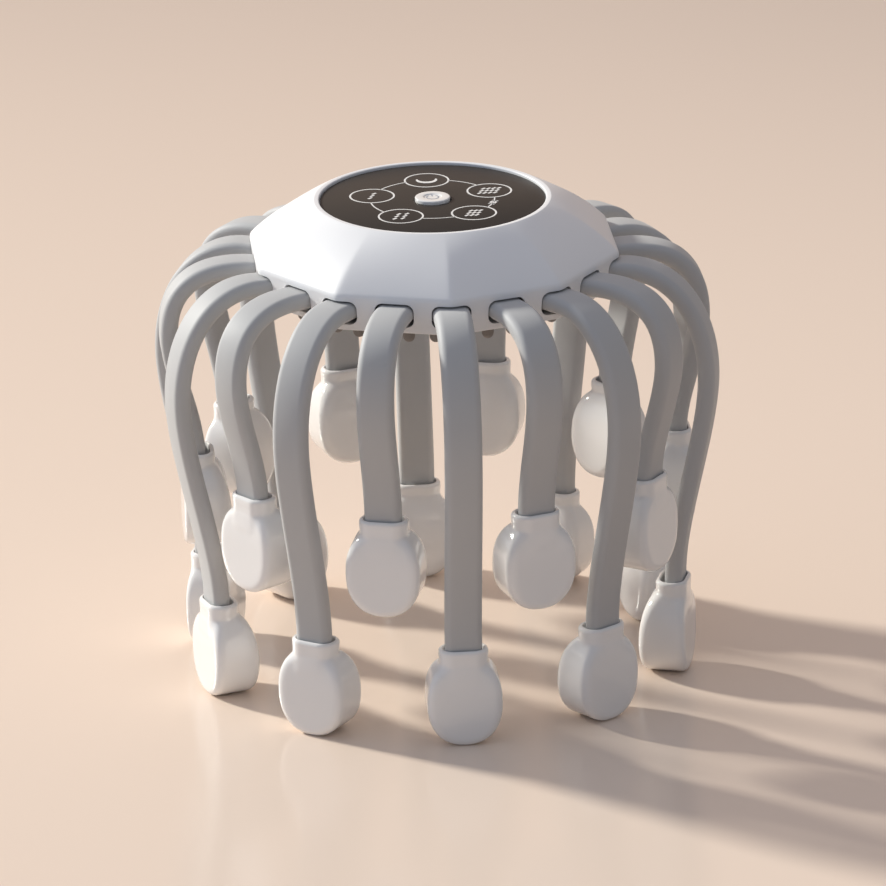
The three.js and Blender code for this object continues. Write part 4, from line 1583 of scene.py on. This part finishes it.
@dataclass
class Studio:
    """Camera at the photograph's viewing angle, a pale floor, and the light."""

    lens: float = 313.28
    sensor: float = 36.0
    clip: tuple[float, float] = (0.05, 50.0)
    distance: float = 2435.5
    rise: float = 948.9
    pitch: float = 19.731
    roll: float = -1.067
    yaw: float = 0.046
    turn: float = -5.199
    floor_size: float = 14000.0
    left_light: Light = (0.49, 0.58, 0.72)
    right_light: Light = (0.29, 0.29, 0.29)
    front_light: Light = (0.24, 0.258, 0.305)
    back_light: Light = (0.64, 0.46, 0.35)
    ceiling_light: Light = (0.35, 0.385, 0.45)
    softbox_light: Light = (1.0, 0.8, 0.8)
    softbox_place: tuple[float, float, float] = (-150.0, 100.0, 1400.0)
    softbox_side: float = 1000.0
    key_light: Light = (3.31, 3.25, 3.0)
    key_power: float = 16.0
    key_distance: float = 10000.0
    key_elevation: float = 26.0
    key_azimuth: float = -122.0
    key_radius: float = 520.0
    key_reach: float = 1300.0
    key_aim: tuple[float, float, float] = (-66.0, -60.0, 50.0)

    def camera(self) -> None:
        """Sets the camera from its fitted place and angles."""
        data = bpy.data.cameras.new("camera")
        data.sensor_fit = "HORIZONTAL"
        data.sensor_width = self.sensor
        data.lens = self.lens
        data.clip_start, data.clip_end = self.clip
        camera = add_object("camera", data)
        yaw, pitch, roll = (math.radians(a) for a in (self.yaw, self.pitch, self.roll))
        ahead = Vector((math.sin(yaw) * math.cos(pitch), math.cos(yaw) * math.cos(pitch), -math.sin(pitch)))
        right = Vector((math.cos(yaw), -math.sin(yaw), 0))
        up = right.cross(ahead)
        level_right = math.cos(roll) * right + math.sin(roll) * up
        level_up = -math.sin(roll) * right + math.cos(roll) * up
        axes = Matrix((level_right, level_up, -ahead)).transposed().to_4x4()
        place = Matrix.Translation(Vector((0, -self.distance, self.rise)) * MM)
        camera.matrix_world = Matrix.Rotation(math.radians(self.turn), 4, "Z") @ place @ axes
        bpy.context.scene.camera = camera

    def floor(self) -> None:
        """Lays a wide pale floor with a faint sheen."""
        deselect_all()
        bpy.ops.mesh.primitive_plane_add(size=self.floor_size * MM)
        floor = bpy.context.object
        floor.name = "floor"
        floor.data.materials.append(PAINTED_BOARD.build())

    def sky(self) -> None:
        """Fills the room with soft light whose colour goes over from wall to wall and to the ceiling."""
        world = bpy.data.worlds.new("room")
        world.use_nodes = True
        bpy.context.scene.world = world
        place = add_node(world, "ShaderNodeTexCoord", {}).outputs["Generated"]
        axes = add_node(world, "ShaderNodeSeparateXYZ", {"Vector": place}).outputs
        walls = {
            "X": (self.left_light, self.right_light),
            "Y": (self.front_light, self.back_light),
            "Z": (self.ceiling_light, self.ceiling_light),
        }
        total: Value = (0.0, 0.0, 0.0)
        for axis, (low, high) in walls.items():
            sign = {0: axes[axis], 1: 0.0}
            side = add_node(world, "ShaderNodeMath", sign, operation="GREATER_THAN").outputs[0]
            inputs = {"Factor": side, 6: (*low, 1.0), 7: (*high, 1.0)}
            colour = add_node(world, "ShaderNodeMix", inputs, data_type="RGBA").outputs[2]
            square = {0: axes[axis], 1: axes[axis]}
            share = add_node(world, "ShaderNodeMath", square, operation="MULTIPLY").outputs[0]
            scaled = {0: colour, "Scale": share}
            part = add_node(world, "ShaderNodeVectorMath", scaled, operation="SCALE").outputs[0]
            total = add_node(world, "ShaderNodeVectorMath", {0: part, 1: total}, operation="ADD").outputs[0]
        world.node_tree.links.new(total, world.node_tree.nodes["Background"].inputs["Color"])

    def hang(self, data: bpy.types.Light, light: Light, place: Vector, aim: Vector) -> None:
        """Hangs a lamp, with X to the right of the camera's view and Y away from it.

        Args:
            data: The lamp.
            light: Its power in red, green and blue.
            place: Where it hangs.
            aim: The point that it faces.
        """
        data.color = light
        lamp = add_object(data.name, data)
        turn = Matrix.Rotation(math.radians(self.turn), 3, "Z")
        lamp.location = turn @ place * MM
        lamp.rotation_mode = "QUATERNION"
        lamp.rotation_quaternion = (turn @ (place - aim)).to_track_quat("Z", "Y")

    def softbox(self) -> None:
        """Hangs the flat lamp above the object."""
        data = bpy.data.lights.new("softbox", "AREA")
        data.shape = "RECTANGLE"
        data.size = data.size_y = self.softbox_side * MM
        data.energy = 1.0
        self.hang(data, self.softbox_light, Vector(self.softbox_place), Vector())

    def key(self) -> None:
        """Hangs the low key light on the left and behind, whose beam fades gently all round."""
        data = bpy.data.lights.new("key", "SPOT")
        data.energy = self.key_power * (self.key_distance * MM) ** 2
        data.shadow_soft_size = self.key_radius * MM
        data.spot_size = 2 * math.atan(self.key_reach / self.key_distance)
        data.spot_blend = 1.0
        azimuth, elevation = math.radians(self.key_azimuth), math.radians(self.key_elevation)
        towards = spoke(azimuth - math.pi / 2, math.cos(elevation), math.sin(elevation))
        aim = Vector(self.key_aim)
        self.hang(data, self.key_light, aim + self.key_distance * towards, aim)

    def build(self) -> None:
        """Sets up the whole studio."""
        bpy.context.scene.view_settings.view_transform = "Standard"
        self.camera()
        self.floor()
        self.sky()
        self.softbox()
        self.key()


def main() -> None:
    """Loads the frame and builds every sub-assembly in order, which logs each piece."""
    logging.basicConfig(level=logging.INFO, format="%(name)s: %(message)s")
    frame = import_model()
    Studio().build()
    palette = Palette()
    housing = Housing(palette)
    housing.build()
    ControlPanel(palette).build()
    Arms(palette, Head(palette)).build()
    Underside(palette, housing).build()
    InnerParts(palette).build(frame["nodes"])


if __name__ == "__main__":
    main()
